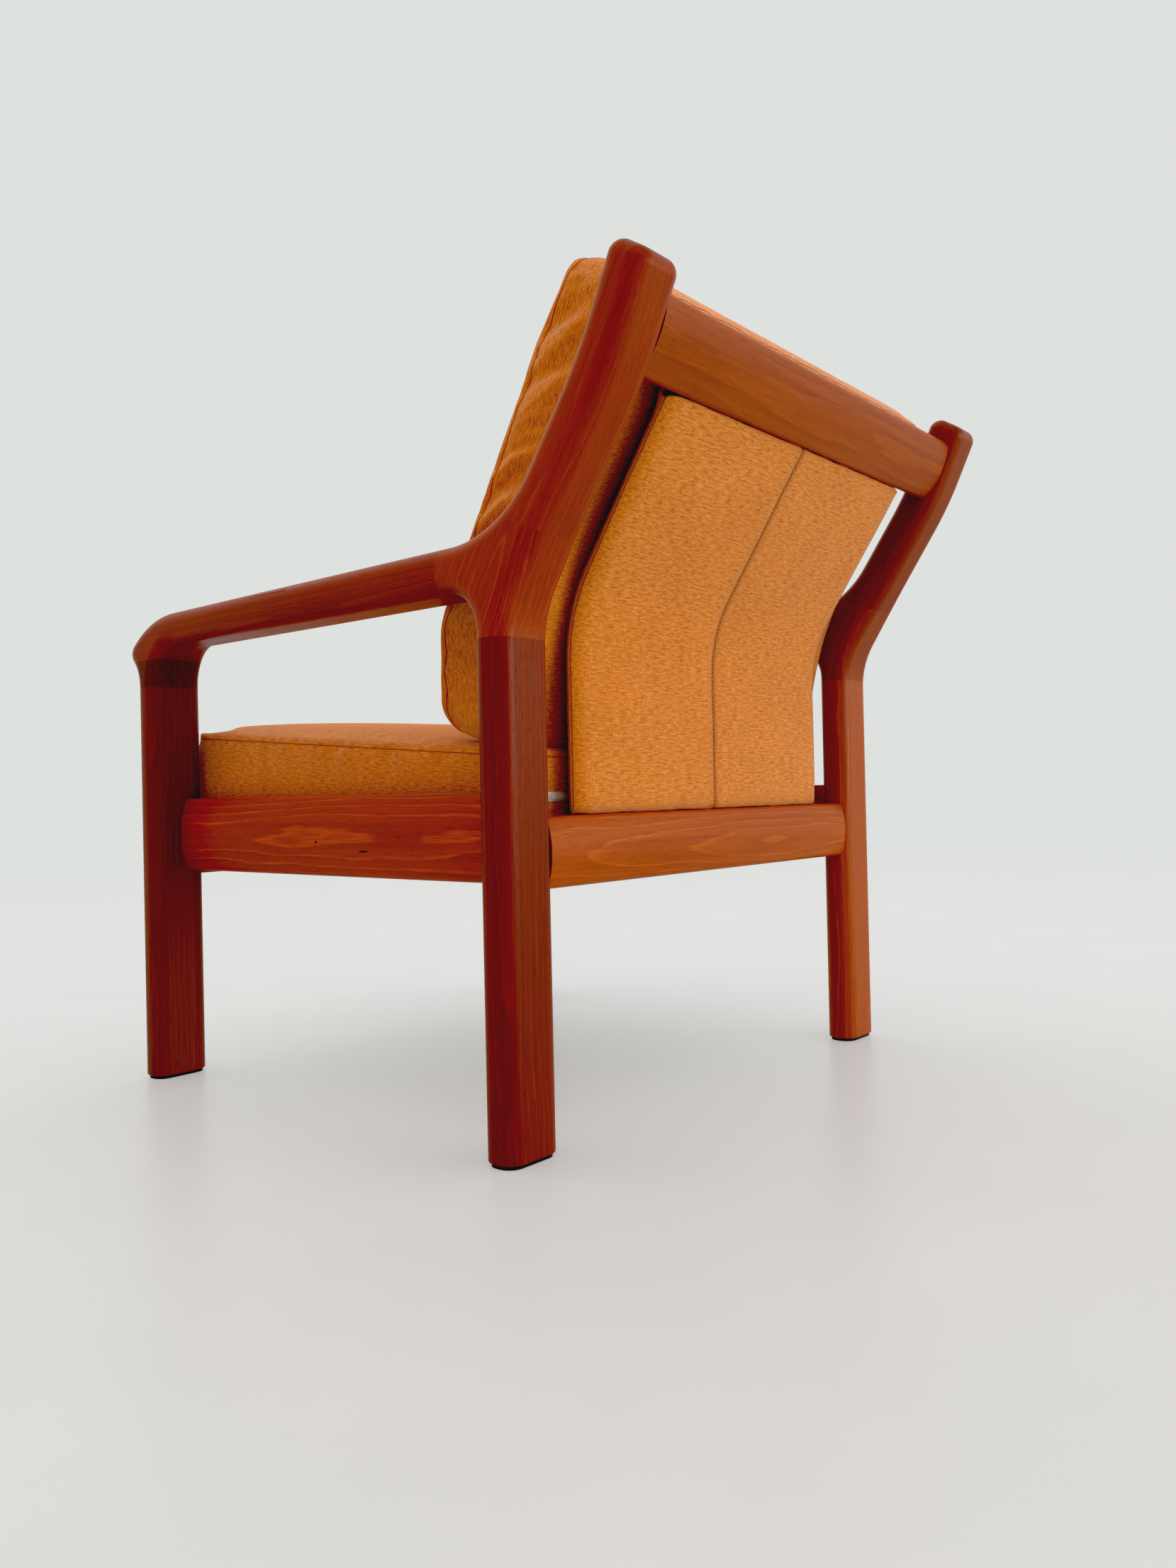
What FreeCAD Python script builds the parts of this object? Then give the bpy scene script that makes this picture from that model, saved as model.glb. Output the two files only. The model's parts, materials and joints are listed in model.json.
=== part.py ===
import FreeCAD, Part
import math
import os
import Sketcher

# Lounge armchair with a shaped hardwood frame, a bent upholstered back panel and two loose cushions.
# Row frame: +Z up, the sitter faces -Y, the sitter's left is +X, the floor is Z = 0.
# Side views are drawn from the rear legs' axis, and front views from the middle of the chair.

os.makedirs("parts", exist_ok=True)
doc = FreeCAD.newDocument("armchair")

DIMENSIONS = {
    # legs and the shaped side frame
    "leg_spread": 660.0,          # between the centres of the left and right legs
    "leg_setback": 594.0,         # between the centres of the front and rear legs
    "rear_leg_y": 223.708,        # puts the middle of the whole chair on the origin
    "leg_width": 71.4,
    "leg_depth": 40.0,
    "edge_round": 17.8,
    "pad_height": 3.5,
    "pad_inset": 3.0,
    "leg_joint_front": 484.6,
    "leg_joint_rear": 486.4,
    "block_joint": 518.0,
    "arm_underside": 534.0,
    "arm_top_front": 573.0,
    "arm_top_rear": 580.5,
    "arm_joint_y": -66.0,
    "throat_z": 502.0,            # where the knuckle starts to swell forward of the front leg
    "nose_reach": 27.0,
    "nose_z": 529.5,
    "crown_set": 24.0,            # how far behind the leg's front face the knuckle's crown ends
    "throat_round": 40.0,
    "nose_round": 20.0,
    "crown_round": 125.0,
    "arm_inner_round": 45.0,
    "junction_inner_round": 42.0,
    "junction_top_round": 125.0,
    "past_chair": 1000.0,         # longer than the chair: for blocks that only bound or cut
    # back posts: they lean back, then straighten a little towards the top
    "bend_z": 510.0,
    "bend_round": 100.0,
    "post_root_y": 8.1,
    "post_back_y": 149.6,
    "post_back_z": 704.7,
    "post_front_y": 106.0,
    "post_front_z": 724.6,
    "post_top_back_y": 188.0,
    "post_top_back_z": 789.0,
    "post_top_front_y": 147.6,
    "post_top_front_z": 815.5,
    "post_round": 450.0,
    "post_top_round": 14.0,
    "foot_round": 2.0,
    "post_slim": 5.0,             # the post is this much slimmer than the leg on each side
    "post_slim_z": 500.0,
    "post_slim_top": 640.0,
    "post_joint_y": 43.0,
    "post_joint_z": 583.4,
    "post_joint_tilt": 24.0,
    # rails, each pillowed on its outer face
    "rail_bottom": 250.5,
    "rail_height": 70.0,
    "rail_inner": 12.5,
    "rail_edge": 9.5,
    "rail_pillow": 7.0,
    "rail_round": 8.0,
    "rail_inner_round": 3.0,
    "rail_housing": 3.0,
    "side_rail_bottom": 256.0,
    "side_rail_height": 89.5,
    "side_rail_inner": 298.0,
    "side_rail_edge": 23.0,
    "side_rail_pillow": 9.0,
    "side_rail_housing": 8.0,
    "crest_y": 144.0,
    "crest_z": 745.3,
    "crest_height": 73.5,
    "crest_lean": 28.5,
    # dowels
    "dowel_radius": 5.0,
    "dowel_in_rail": 30.0,
    "dowel_in_leg": 21.0,
    "dowel_pitch": 35.0,
    "side_dowel_inset": 12.0,
    "side_dowel_rise": 29.0,
    "side_dowel_pitch": 40.0,
    "arm_dowel_reach": 27.0,
    "arm_dowel_apart": 14.0,
    "arm_dowel_z": 555.0,
    "panel_dowel_radius": 3.0,
    "panel_dowel_reach": 16.0,
    "panel_dowel_out": 160.0,
    # feet
    "nail_radius": 1.6,
    "nail_reach": 16.0,
    # seat webbing and its end clips
    "seat_rear": -26.0,
    "seat_bottom": 278.0,
    "seat_slope": 4.4,
    "strap_count": 6,
    "strap_width": 50.0,
    "strap_thickness": 3.0,
    "strap_gap": 0.1,             # lets the cushion slide over the straps
    "strap_first": 62.0,
    "strap_pitch": 86.0,
    "strap_in_clip": 9.0,
    "clip_depth": 11.0,
    "clip_thickness": 6.0,
    # bent back panel
    "panel_half_width": 247.0,
    "panel_rear_y": 6.6,
    "panel_thickness": 16.0,
    "panel_bend_z": 520.0,
    "panel_bend_round": 150.0,
    "panel_lean": 33.5,
    "panel_reach": 260.0,
    "crest_run": 48.0,
    "panel_edge_round": 6.5,
    "board_skin": 4.0,
    "board_thickness": 9.0,
    "board_margin": 8.0,
    "board_end": 5.0,
    "lining_thickness": 1.2,
    "lining_margin": 12.0,
    # cushions
    "seat_half_width": 288.0,
    "seat_depth": 592.0,
    "seat_side_height": 107.0,
    "seat_crown": 20.0,
    "seat_corner_round": 13.0,
    "cover_skin": 8.0,
    "zip_rise": 60.0,
    "zip_height": 10.0,
    "zip_proud": 1.2,
    "zip_sunk": 2.0,
    "zip_half_length": 254.0,
    "slider_width": 9.0,
    "slider_height": 12.0,
    "slider_proud": 3.0,
    "slider_gap": 0.3,
    "pull_width": 6.0,
    "pull_length": 24.0,
    "pull_thickness": 1.2,
    "back_half_width": 288.0,
    "back_corner_round": 13.0,
    "back_front_low_y": -128.0,
    "back_front_low_z": 407.0,
    "back_belly_y": -147.0,
    "back_belly_z": 508.0,
    "back_top_front_y": 52.0,
    "back_top_front_z": 871.0,
    "back_top_rear_y": 153.0,
    "back_top_rear_z": 800.0,
    "back_waist_y": -24.0,
    "back_waist_z": 529.0,
    "back_rear_low_z": 387.6,
    "back_rear_round": 480.0,
    "back_belly_round": 60.0,
    "back_top_round": 34.0,
    "back_low_round": 24.0,
    "back_rear_top_round": 32.0,
}

sheet = doc.addObject("Spreadsheet::Sheet", "Dims")
for row, (alias, value) in enumerate(DIMENSIONS.items(), start=1):
    sheet.set(f"A{row}", alias)
    sheet.set(f"B{row}", str(value))
    sheet.setAlias(f"B{row}", alias)
doc.recompute()


def size(alias):
    """A driving dimension's value."""
    return float(sheet.get(alias))


def bind(obj, **expressions):
    """Bind properties to sheet expressions; a double underscore stands for a dot."""
    for name, expression in expressions.items():
        obj.setExpression(name.replace("__", "."), expression)


def vector(x, y, z):
    return FreeCAD.Vector(x, y, z)


NEAR = 0.05                       # points closer than this count as the same place
X_AXIS = vector(1, 0, 0)
Y_AXIS = vector(0, 1, 0)
Z_AXIS = vector(0, 0, 1)


# ---- sketches, pads and fillets -------------------------------------------------------------

def new_body(name, placed_y="0", placed_x="0"):
    body = doc.addObject("PartDesign::Body", name)
    bind(body, Placement__Base__x=placed_x, Placement__Base__y=placed_y)
    return body


def outline_sketch(body, role, corners, arcs=None):
    """A closed outline on one of the body's planes, every corner bound to its expressions.

    Sides are straight unless arcs gives a radius and the side it bulges to (1 out, -1 in).
    """
    sketch = body.newObject("Sketcher::SketchObject", body.Name + "_outline")
    plane = next(item for item in body.Origin.OriginFeatures if item.Role == role)
    sketch.AttachmentSupport = [(plane, "")]
    sketch.MapMode = "FlatFace"
    places = [tuple(float(sketch.evalExpression(word)) for word in corner) for corner in corners]
    count = len(places)
    following = [places[(index + 1) % count] for index in range(count)]
    turning = sum(a[0] * b[1] - b[0] * a[1] for a, b in zip(places, following))
    for index, (place, after) in enumerate(zip(places, following)):
        if arcs and index in arcs:
            word, side = arcs[index]
            radius = float(sketch.evalExpression(word))
            chord = math.dist(place, after)
            rise = radius - math.sqrt(radius ** 2 - chord ** 2 / 4)
            push = side * math.copysign(rise / chord, turning)
            part_way = vector((place[0] + after[0]) / 2 + push * (after[1] - place[1]),
                              (place[1] + after[1]) / 2 - push * (after[0] - place[0]), 0)
            side_line = Part.Arc(vector(*place, 0), part_way, vector(*after, 0))
        else:
            side_line = Part.LineSegment(vector(*place, 0), vector(*after, 0))
        sketch.addGeometry(side_line, False)

    def end_at(index, place):
        """Which end of a side lies at a corner: 1 for its start, 2 for its end."""
        return 1 if sketch.getPoint(index, 1).distanceToPoint(vector(*place, 0)) < 1e-6 else 2

    for index, after in enumerate(following):
        other = (index + 1) % count
        sketch.addConstraint(Sketcher.Constraint(
            "Coincident", index, end_at(index, after), other, end_at(other, after)))
    for index, (place, corner) in enumerate(zip(places, corners)):
        end = end_at(index, place)
        for kind, value, word in zip(("DistanceX", "DistanceY"), place, corner):
            made = sketch.addConstraint(Sketcher.Constraint(kind, -1, 1, index, end, value))
            sketch.setExpression(f"Constraints[{made}]", word)
    for index, (word, side) in (arcs or {}).items():
        radius = float(sketch.evalExpression(word))
        made = sketch.addConstraint(Sketcher.Constraint("Radius", index, radius))
        sketch.setExpression(f"Constraints[{made}]", word)
    return sketch, places


def add_pad(body, sketch, length):
    """Pad a sketch by the same amount to both sides of its plane."""
    pad = body.newObject("PartDesign::Pad", body.Name + "_pad")
    pad.Profile = sketch
    pad.SideType = "Symmetric"
    bind(pad, Length=length)
    sketch.Visibility = False
    doc.recompute()
    return pad


def along(edge, axis):
    """True if an edge is straight and parallel to an axis."""
    if not isinstance(edge.Curve, Part.Line):
        return False
    direction = edge.tangentAt(edge.FirstParameter)
    return abs(abs(direction.dot(axis)) - 1) < 1e-6


def middle(edge):
    return edge.valueAt((edge.FirstParameter + edge.LastParameter) / 2)


def round_edges(body, feature, radius, test):
    """Fillet the edges of the body's last feature that pass a test, in the body's own frame."""
    shape = feature.Shape
    names = [f"Edge{n}" for n, edge in enumerate(shape.Edges, start=1) if test(edge)]
    fillet = body.newObject("PartDesign::Fillet", body.Name + "_round")
    fillet.Base = (feature, names)
    bind(fillet, Radius=radius)
    doc.recompute()
    return fillet


def round_corner(body, feature, place, radius, axis):
    """Fillet the corner of a side or front outline at a place, along the pad's axis."""
    def at_place(edge):
        point = middle(edge)
        across = (point.y, point.z) if axis.x else (point.x, point.z)
        return along(edge, axis) and math.dist(across, place) < NEAR
    return round_edges(body, feature, radius, at_place)


# ---- booleans -------------------------------------------------------------------------------

def cut(name, base, tool):
    made = doc.addObject("Part::Cut", name)
    made.Base = base
    made.Tool = tool
    return made


def common(name, base, tool):
    made = doc.addObject("Part::Common", name)
    made.Base = base
    made.Tool = tool
    return made


def group(name, members):
    """Several solids as one object."""
    made = doc.addObject("Part::Compound", name)
    made.Links = members
    return made


def mirrored(name, source):
    """The same piece on the chair's other side."""
    made = doc.addObject("Part::Mirroring", name)
    made.Source = source
    made.Normal = X_AXIS
    return made


def block(name, low, high):
    """A box between two corners, each given as three expressions."""
    box = doc.addObject("Part::Box", name)
    bind(box, Placement__Base__x=low[0], Placement__Base__y=low[1], Placement__Base__z=low[2])
    bind(box, Length=f"({high[0]}) - ({low[0]})", Width=f"({high[1]}) - ({low[1]})")
    bind(box, Height=f"({high[2]}) - ({low[2]})")
    return box


def dowel(name, start, direction, length, radius="Dims.dowel_radius"):
    """A round peg from a start point, given as expressions, along a direction."""
    peg = doc.addObject("Part::Cylinder", name)
    peg.Placement = FreeCAD.Placement(vector(0, 0, 0), FreeCAD.Rotation(Z_AXIS, direction))
    bind(peg, Placement__Base__x=start[0], Placement__Base__y=start[1], Placement__Base__z=start[2])
    bind(peg, Radius=radius, Height=length)
    return peg


# ---- the shaped side frame ------------------------------------------------------------------

def slim_outline():
    """Front view of one side frame: straight legs, then a post that is slimmer on both sides."""
    body = new_body("front_outline", "Dims.rear_leg_y", "Dims.leg_spread / 2")
    wide = "Dims.leg_width / 2"
    slim = "Dims.leg_width / 2 - Dims.post_slim"
    half_way = "Dims.leg_width / 2 - Dims.post_slim / 2"
    step = "(Dims.post_slim_top - Dims.post_slim_z) / 2"
    levels = [("0", wide), ("Dims.post_slim_z", wide), (f"Dims.post_slim_z + {step}", half_way),
              ("Dims.post_slim_top", slim), ("Dims.past_chair", slim)]
    right = [(across, level) for level, across in levels]
    left = [(f"-({across})", level) for level, across in reversed(levels)]
    radius = f"(({step}) ^ 2 + (Dims.post_slim / 2) ^ 2) / Dims.post_slim"
    arcs = {1: (radius, 1), 2: (radius, -1), 6: (radius, -1), 7: (radius, 1)}
    sketch = outline_sketch(body, "XZ_Plane", right + left, arcs)[0]
    add_pad(body, sketch, "2 * Dims.past_chair")
    return body


def side_outline():
    """Side view of the left frame: legs, arm, junction and post in one outline."""
    body = new_body("side_outline", "Dims.rear_leg_y", "Dims.leg_spread / 2")
    front = "-Dims.leg_setback - Dims.leg_depth / 2"
    corners = [
        (front, "Dims.pad_height"),
        (front, "Dims.throat_z"),
        (f"{front} - Dims.nose_reach", "Dims.nose_z"),
        (f"{front} + Dims.crown_set", "Dims.arm_top_front"),
        ("Dims.post_root_y", "Dims.arm_top_rear"),
        ("Dims.post_front_y", "Dims.post_front_z"),
        ("Dims.post_top_front_y", "Dims.post_top_front_z"),
        ("Dims.post_top_back_y", "Dims.post_top_back_z"),
        ("Dims.post_back_y", "Dims.post_back_z"),
        ("Dims.leg_depth / 2", "Dims.bend_z"),
        ("Dims.leg_depth / 2", "Dims.pad_height"),
        ("-Dims.leg_depth / 2", "Dims.pad_height"),
        ("-Dims.leg_depth / 2", "Dims.arm_underside"),
        ("-Dims.leg_setback + Dims.leg_depth / 2", "Dims.arm_underside"),
        ("-Dims.leg_setback + Dims.leg_depth / 2", "Dims.pad_height"),
    ]
    rounds = {1: "throat_round", 2: "nose_round", 3: "crown_round", 4: "junction_top_round",
              5: "post_round", 8: "post_round", 9: "bend_round", 12: "junction_inner_round",
              13: "arm_inner_round"}
    sketch, places = outline_sketch(body, "YZ_Plane", corners)
    feature = add_pad(body, sketch, "Dims.leg_width")
    for index, radius in rounds.items():
        feature = round_corner(body, feature, places[index], f"Dims.{radius}", X_AXIS)
    return body


def side_frame_blank():
    """The left frame as one shaped blank, which is then divided at its glue lines."""
    shaped = common("side_frame_shaped", side_outline(), slim_outline())
    doc.recompute()
    feet = size("pad_height")
    post_ends = (size("post_top_front_z"), size("post_top_back_z"))

    def on_slim_seam(edge):
        """The level lines where the straight side turns into the slimmer one need no rounding."""
        seams = [size("post_slim_z"), size("post_slim_top")]
        seams.append(sum(seams) / 2)
        return any(all(abs(v.Z - level) < NEAR for v in edge.Vertexes) for level in seams)

    def long_edge(edge):
        """Every edge that outlines the inner and outer faces, but not the feet or the post's end."""
        heights = [vertex.Z for vertex in edge.Vertexes]
        foot = all(abs(height - feet) < NEAR for height in heights)
        post_end = all(min(abs(height - end) for end in post_ends) < NEAR for height in heights)
        level_run = abs(middle(edge).z - heights[0]) < NEAR and abs(heights[0] - heights[-1]) < NEAR
        crosses_face = level_run and abs(edge.Vertexes[0].X - edge.Vertexes[-1].X) > 1
        at_side = abs(abs(middle(edge).x - size("leg_spread") / 2) - size("leg_width") / 2)
        inside_band = at_side < size("post_slim") + NEAR
        return inside_band and not (foot or post_end or crosses_face or on_slim_seam(edge))

    rounded = doc.addObject("Part::Fillet", "side_frame_rounded")
    rounded.Base = shaped
    edges = [n for n, edge in enumerate(shaped.Shape.Edges, start=1) if long_edge(edge)]
    rounded.Edges = [(n, size("edge_round"), size("edge_round")) for n in edges]
    doc.recompute()

    # the post's end and the feet are eased all round
    eased = doc.addObject("Part::Fillet", "side_frame_eased")
    eased.Base = rounded
    radii = {}
    for face in rounded.Shape.Faces:
        flat = isinstance(face.Surface, Part.Plane)
        at_top = face.BoundBox.ZMin > size("post_top_back_z") - size("post_top_round")
        at_foot = face.BoundBox.ZMax < feet + NEAR
        if flat and (at_top or at_foot):
            radius = size("post_top_round") if at_top else size("foot_round")
            for n, edge in enumerate(rounded.Shape.Edges, start=1):
                if any(edge.isSame(own) for own in face.Edges):
                    radii[n] = radius
    eased.Edges = [(n, radius, radius) for n, radius in radii.items()]
    doc.recompute()
    return eased


blank = side_frame_blank()


# ---- rails ----------------------------------------------------------------------------------

def rail(name, half_height, inner, edge, pillow, half_length):
    """A rail along local X, flat on its -Y face and pillowed on its +Y face."""
    body = new_body(name)
    radius = f"(({half_height}) ^ 2 + ({pillow}) ^ 2) / (2 * {pillow})"
    corners = [(f"-{inner}", f"-{half_height}"), (edge, f"-{half_height}"), (edge, half_height),
               (f"-{inner}", half_height)]
    sketch, places = outline_sketch(body, "YZ_Plane", corners, {1: (radius, 1)})
    feature = add_pad(body, sketch, f"2 * ({half_length})")
    for index, round_name in enumerate(("rail_inner_round", "rail_round", "rail_round",
                                        "rail_inner_round")):
        feature = round_corner(body, feature, places[index], f"Dims.{round_name}", X_AXIS)
    return body


START_ANGLE = 30.0


def place(obj, x, y, z, axis=X_AXIS, angle="0"):
    """Put an object somewhere, turned about an axis by an expression in degrees."""
    # a turn of 0 would lose its axis, so the object starts at any other angle
    obj.Placement = FreeCAD.Placement(vector(0, 0, 0), FreeCAD.Rotation(axis, START_ANGLE))
    bind(obj, Placement__Base__x=x, Placement__Base__y=y, Placement__Base__z=z)
    bind(obj, Placement__Rotation__Angle=angle)


RAIL = ("Dims.rail_height / 2", "Dims.rail_inner", "Dims.rail_edge", "Dims.rail_pillow")
LEG_FACE = "Dims.leg_spread / 2 - Dims.leg_width / 2"
FRONT_LEG_Y = "Dims.rear_leg_y - Dims.leg_setback"

rear_rail_bar = rail("rear_rail_bar", *RAIL, f"{LEG_FACE} + Dims.rail_housing")
place(rear_rail_bar, "0", "Dims.rear_leg_y", "Dims.rail_bottom + Dims.rail_height / 2")

front_rail_bar = rail("front_rail_bar", *RAIL, f"{LEG_FACE} + Dims.rail_housing")
place(front_rail_bar, "0", FRONT_LEG_Y, "Dims.rail_bottom + Dims.rail_height / 2", Z_AXIS, "180")

crest_rail_bar = rail("crest_rail_bar", "Dims.crest_height / 2", *RAIL[1:],
                      f"{LEG_FACE} + Dims.post_slim + Dims.rail_housing")
place(crest_rail_bar, "0", "Dims.rear_leg_y + Dims.crest_y", "Dims.crest_z", X_AXIS,
      "-Dims.crest_lean")

side_rail_bar = rail("side_rail_bar", "Dims.side_rail_height / 2", "0", "Dims.side_rail_edge",
                     "Dims.side_rail_pillow",
                     "(Dims.leg_setback - Dims.leg_depth) / 2 + Dims.side_rail_housing")
place(side_rail_bar, "Dims.side_rail_inner", "Dims.rear_leg_y - Dims.leg_setback / 2",
      "Dims.side_rail_bottom + Dims.side_rail_height / 2", Z_AXIS, "-90")


# ---- dowels, made for the left side and mirrored -------------------------------------------

def peg_pair(name, start, direction, length, shift, radius="Dims.dowel_radius"):
    """Two pegs, the second one moved on by the shift."""
    pegs = []
    for number in (0, 1):
        moved = tuple(f"{word} + {number} * ({step})" for word, step in zip(start, shift))
        pegs.append(dowel(f"{name}_{number + 1}", moved, direction, length, radius))
    return pegs


def upright_pair(name, y, z, direction=Z_AXIS):
    """Two pegs side by side across a frame member, centred on a glue line."""
    rise, run = direction.z, direction.y
    start = ("Dims.leg_spread / 2 - Dims.arm_dowel_apart", f"{y} - {run} * Dims.arm_dowel_reach",
             f"{z} - {rise} * Dims.arm_dowel_reach")
    return peg_pair(name, start, direction, "2 * Dims.arm_dowel_reach",
                    ("2 * Dims.arm_dowel_apart", "0", "0"))


rail_peg_length = "Dims.dowel_in_rail + Dims.dowel_in_leg"
rail_peg_x = f"{LEG_FACE} + Dims.rail_housing - Dims.dowel_in_rail"
rail_peg_z = "Dims.rail_bottom + (Dims.rail_height - Dims.dowel_pitch) / 2"
side_peg_x = "Dims.side_rail_inner + Dims.side_dowel_inset"
side_peg_z = "Dims.side_rail_bottom + Dims.side_dowel_rise"
side_rear_y = ("Dims.rear_leg_y - Dims.leg_depth / 2 + Dims.side_rail_housing"
               " - Dims.dowel_in_rail")
side_front_y = (f"{FRONT_LEG_Y} + Dims.leg_depth / 2 - Dims.side_rail_housing"
                " - Dims.dowel_in_leg")

rear_pegs = peg_pair("rear_peg", (rail_peg_x, "Dims.rear_leg_y", rail_peg_z), X_AXIS,
                     rail_peg_length, ("0", "0", "Dims.dowel_pitch"))
front_pegs = peg_pair("front_peg", (rail_peg_x, FRONT_LEG_Y, rail_peg_z), X_AXIS,
                      rail_peg_length, ("0", "0", "Dims.dowel_pitch"))
side_pegs = peg_pair("side_rear_peg", (side_peg_x, side_rear_y, side_peg_z), Y_AXIS,
                     rail_peg_length, ("0", "0", "Dims.side_dowel_pitch"))
side_pegs += peg_pair("side_front_peg", (side_peg_x, side_front_y, side_peg_z), Y_AXIS,
                      rail_peg_length, ("0", "0", "Dims.side_dowel_pitch"))

crest_peg = (f"{LEG_FACE} + Dims.post_slim + Dims.rail_housing - Dims.dowel_in_rail",
             "Dims.rear_leg_y + Dims.crest_y - sin(Dims.crest_lean) * Dims.dowel_pitch / 2",
             "Dims.crest_z - cos(Dims.crest_lean) * Dims.dowel_pitch / 2")
crest_pegs = peg_pair("crest_peg", crest_peg, X_AXIS, rail_peg_length,
                      ("0", "sin(Dims.crest_lean) * Dims.dowel_pitch",
                       "cos(Dims.crest_lean) * Dims.dowel_pitch"))

joint_tilt = math.radians(size("post_joint_tilt"))
block_pegs = peg_pair("block_peg", ("Dims.leg_spread / 2 - Dims.arm_dowel_apart", FRONT_LEG_Y,
                                    "Dims.leg_joint_front - Dims.arm_dowel_reach"), Z_AXIS,
                      "Dims.block_joint - Dims.leg_joint_front + 2 * Dims.arm_dowel_reach",
                      ("2 * Dims.arm_dowel_apart", "0", "0"))
elbow_pegs = upright_pair("elbow_peg", "Dims.rear_leg_y", "Dims.leg_joint_rear")
arm_pegs = upright_pair("arm_peg", "Dims.rear_leg_y + Dims.arm_joint_y", "Dims.arm_dowel_z",
                        Y_AXIS)
post_pegs = upright_pair("post_peg", "Dims.rear_leg_y + Dims.post_joint_y", "Dims.post_joint_z",
                         vector(0, math.sin(joint_tilt), math.cos(joint_tilt)))


def both_sides(name, left):
    """The left side's solids and their mirror images as one object."""
    left_group = group(name + "_left", left)
    return group(name, [left_group, mirrored(name + "_right", left_group)])


rail_dowels = both_sides("rail_dowels", rear_pegs + front_pegs + side_pegs)
crest_dowels = both_sides("crest_dowels", crest_pegs)
arm_dowels = both_sides("arm_dowels", block_pegs + elbow_pegs + arm_pegs + post_pegs)


# ---- feet -----------------------------------------------------------------------------------

def glide(name, y):
    """A flat glide under one foot, with the foot's outline drawn in a little."""
    body = new_body(name, y, "Dims.leg_spread / 2")
    across = "Dims.leg_width / 2 - Dims.pad_inset"
    deep = "Dims.leg_depth / 2 - Dims.pad_inset"
    corners = [(f"-({across})", f"-({deep})"), (across, f"-({deep})"), (across, deep),
               (f"-({across})", deep)]
    sketch, places = outline_sketch(body, "XY_Plane", corners)
    feature = add_pad(body, sketch, "2 * Dims.pad_height")
    round_edges(body, feature, "Dims.edge_round - Dims.pad_inset",
                lambda edge: along(edge, Z_AXIS))
    under = block(name + "_floor", ("0", "-Dims.past_chair", "0"),
                  ("Dims.past_chair", "Dims.past_chair", "Dims.pad_height"))
    return common(name + "_upper", body, under)


nails = [dowel(f"nail_{end}", ("Dims.leg_spread / 2", y, "Dims.pad_height / 2"), Z_AXIS,
               "Dims.nail_reach", "Dims.nail_radius")
         for end, y in (("rear", "Dims.rear_leg_y"), ("front", FRONT_LEG_Y))]
glide_nails = both_sides("glide_nails", nails)
glides = both_sides("glide_blanks", [glide("rear_glide", "Dims.rear_leg_y"),
                                     glide("front_glide", FRONT_LEG_Y)])
foot_glides = cut("foot_glides", glides, glide_nails)


# ---- seat webbing ---------------------------------------------------------------------------

def on_seat_plane(obj):
    """Put an object drawn on the seat's own sloping plane into place."""
    place(obj, "0", "Dims.rear_leg_y + Dims.seat_rear", "Dims.seat_bottom", X_AXIS,
          "-Dims.seat_slope")
    return obj


strap_list = []
clip_list = []
strap_reach = "Dims.side_rail_inner + Dims.strap_in_clip"
strap_low = "-Dims.strap_gap - Dims.strap_thickness"
clip_end = "Dims.side_rail_inner + Dims.clip_depth"
clip_over = "(Dims.clip_thickness - Dims.strap_thickness) / 2"
clip_low = f"{strap_low} - {clip_over}"
clip_high = f"-Dims.strap_gap + {clip_over}"
for number in range(int(size("strap_count"))):
    middle_y = f"-Dims.strap_first - {number} * Dims.strap_pitch"
    near = f"{middle_y} - Dims.strap_width / 2"
    far = f"{middle_y} + Dims.strap_width / 2"
    strap_list.append(block(f"strap_{number + 1}", (f"-({strap_reach})", near, strap_low),
                            (strap_reach, far, "-Dims.strap_gap")))
    clip_list.append(block(f"left_clip_{number + 1}", ("Dims.side_rail_inner", near, clip_low),
                           (clip_end, far, clip_high)))
    clip_list.append(block(f"right_clip_{number + 1}", (f"-({clip_end})", near, clip_low),
                           ("-Dims.side_rail_inner", far, clip_high)))
seat_webbing = on_seat_plane(group("seat_webbing", strap_list))
clip_blanks = on_seat_plane(group("clip_blanks", clip_list))
webbing_clips = cut("webbing_clips", clip_blanks, seat_webbing)


# ---- the frame's wooden pieces --------------------------------------------------------------

def frame_piece(name, low, high, tools, upper=None, lower=None):
    """Take one piece of the shaped frame between its glue lines and fit it to its neighbours."""
    piece = common(name + "_slice", blank, block(name + "_bounds", low, high))
    if upper:
        piece = cut(name + "_below_joint", piece, upper)
    if lower:
        piece = common(name + "_above_joint", piece, lower)
    return cut("left_" + name, piece, group(name + "_tools", tools))


def joint_slab(name):
    """Everything above the slanting glue line between the junction and the post."""
    slab = doc.addObject("Part::Box", name)
    ahead = "Dims.past_chair / 2"
    place(slab, "0", f"Dims.rear_leg_y + Dims.post_joint_y - {ahead} * cos(Dims.post_joint_tilt)",
          f"Dims.post_joint_z + {ahead} * sin(Dims.post_joint_tilt)", X_AXIS,
          "-Dims.post_joint_tilt")
    bind(slab, Length="Dims.past_chair", Width="Dims.past_chair", Height="Dims.past_chair")
    return slab


AHEAD = "-Dims.past_chair"
MID_Y = "Dims.rear_leg_y - Dims.leg_setback / 2"
ARM_END = "Dims.rear_leg_y + Dims.arm_joint_y"
PAST = "Dims.past_chair"
slab = joint_slab("joint_slab")

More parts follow.
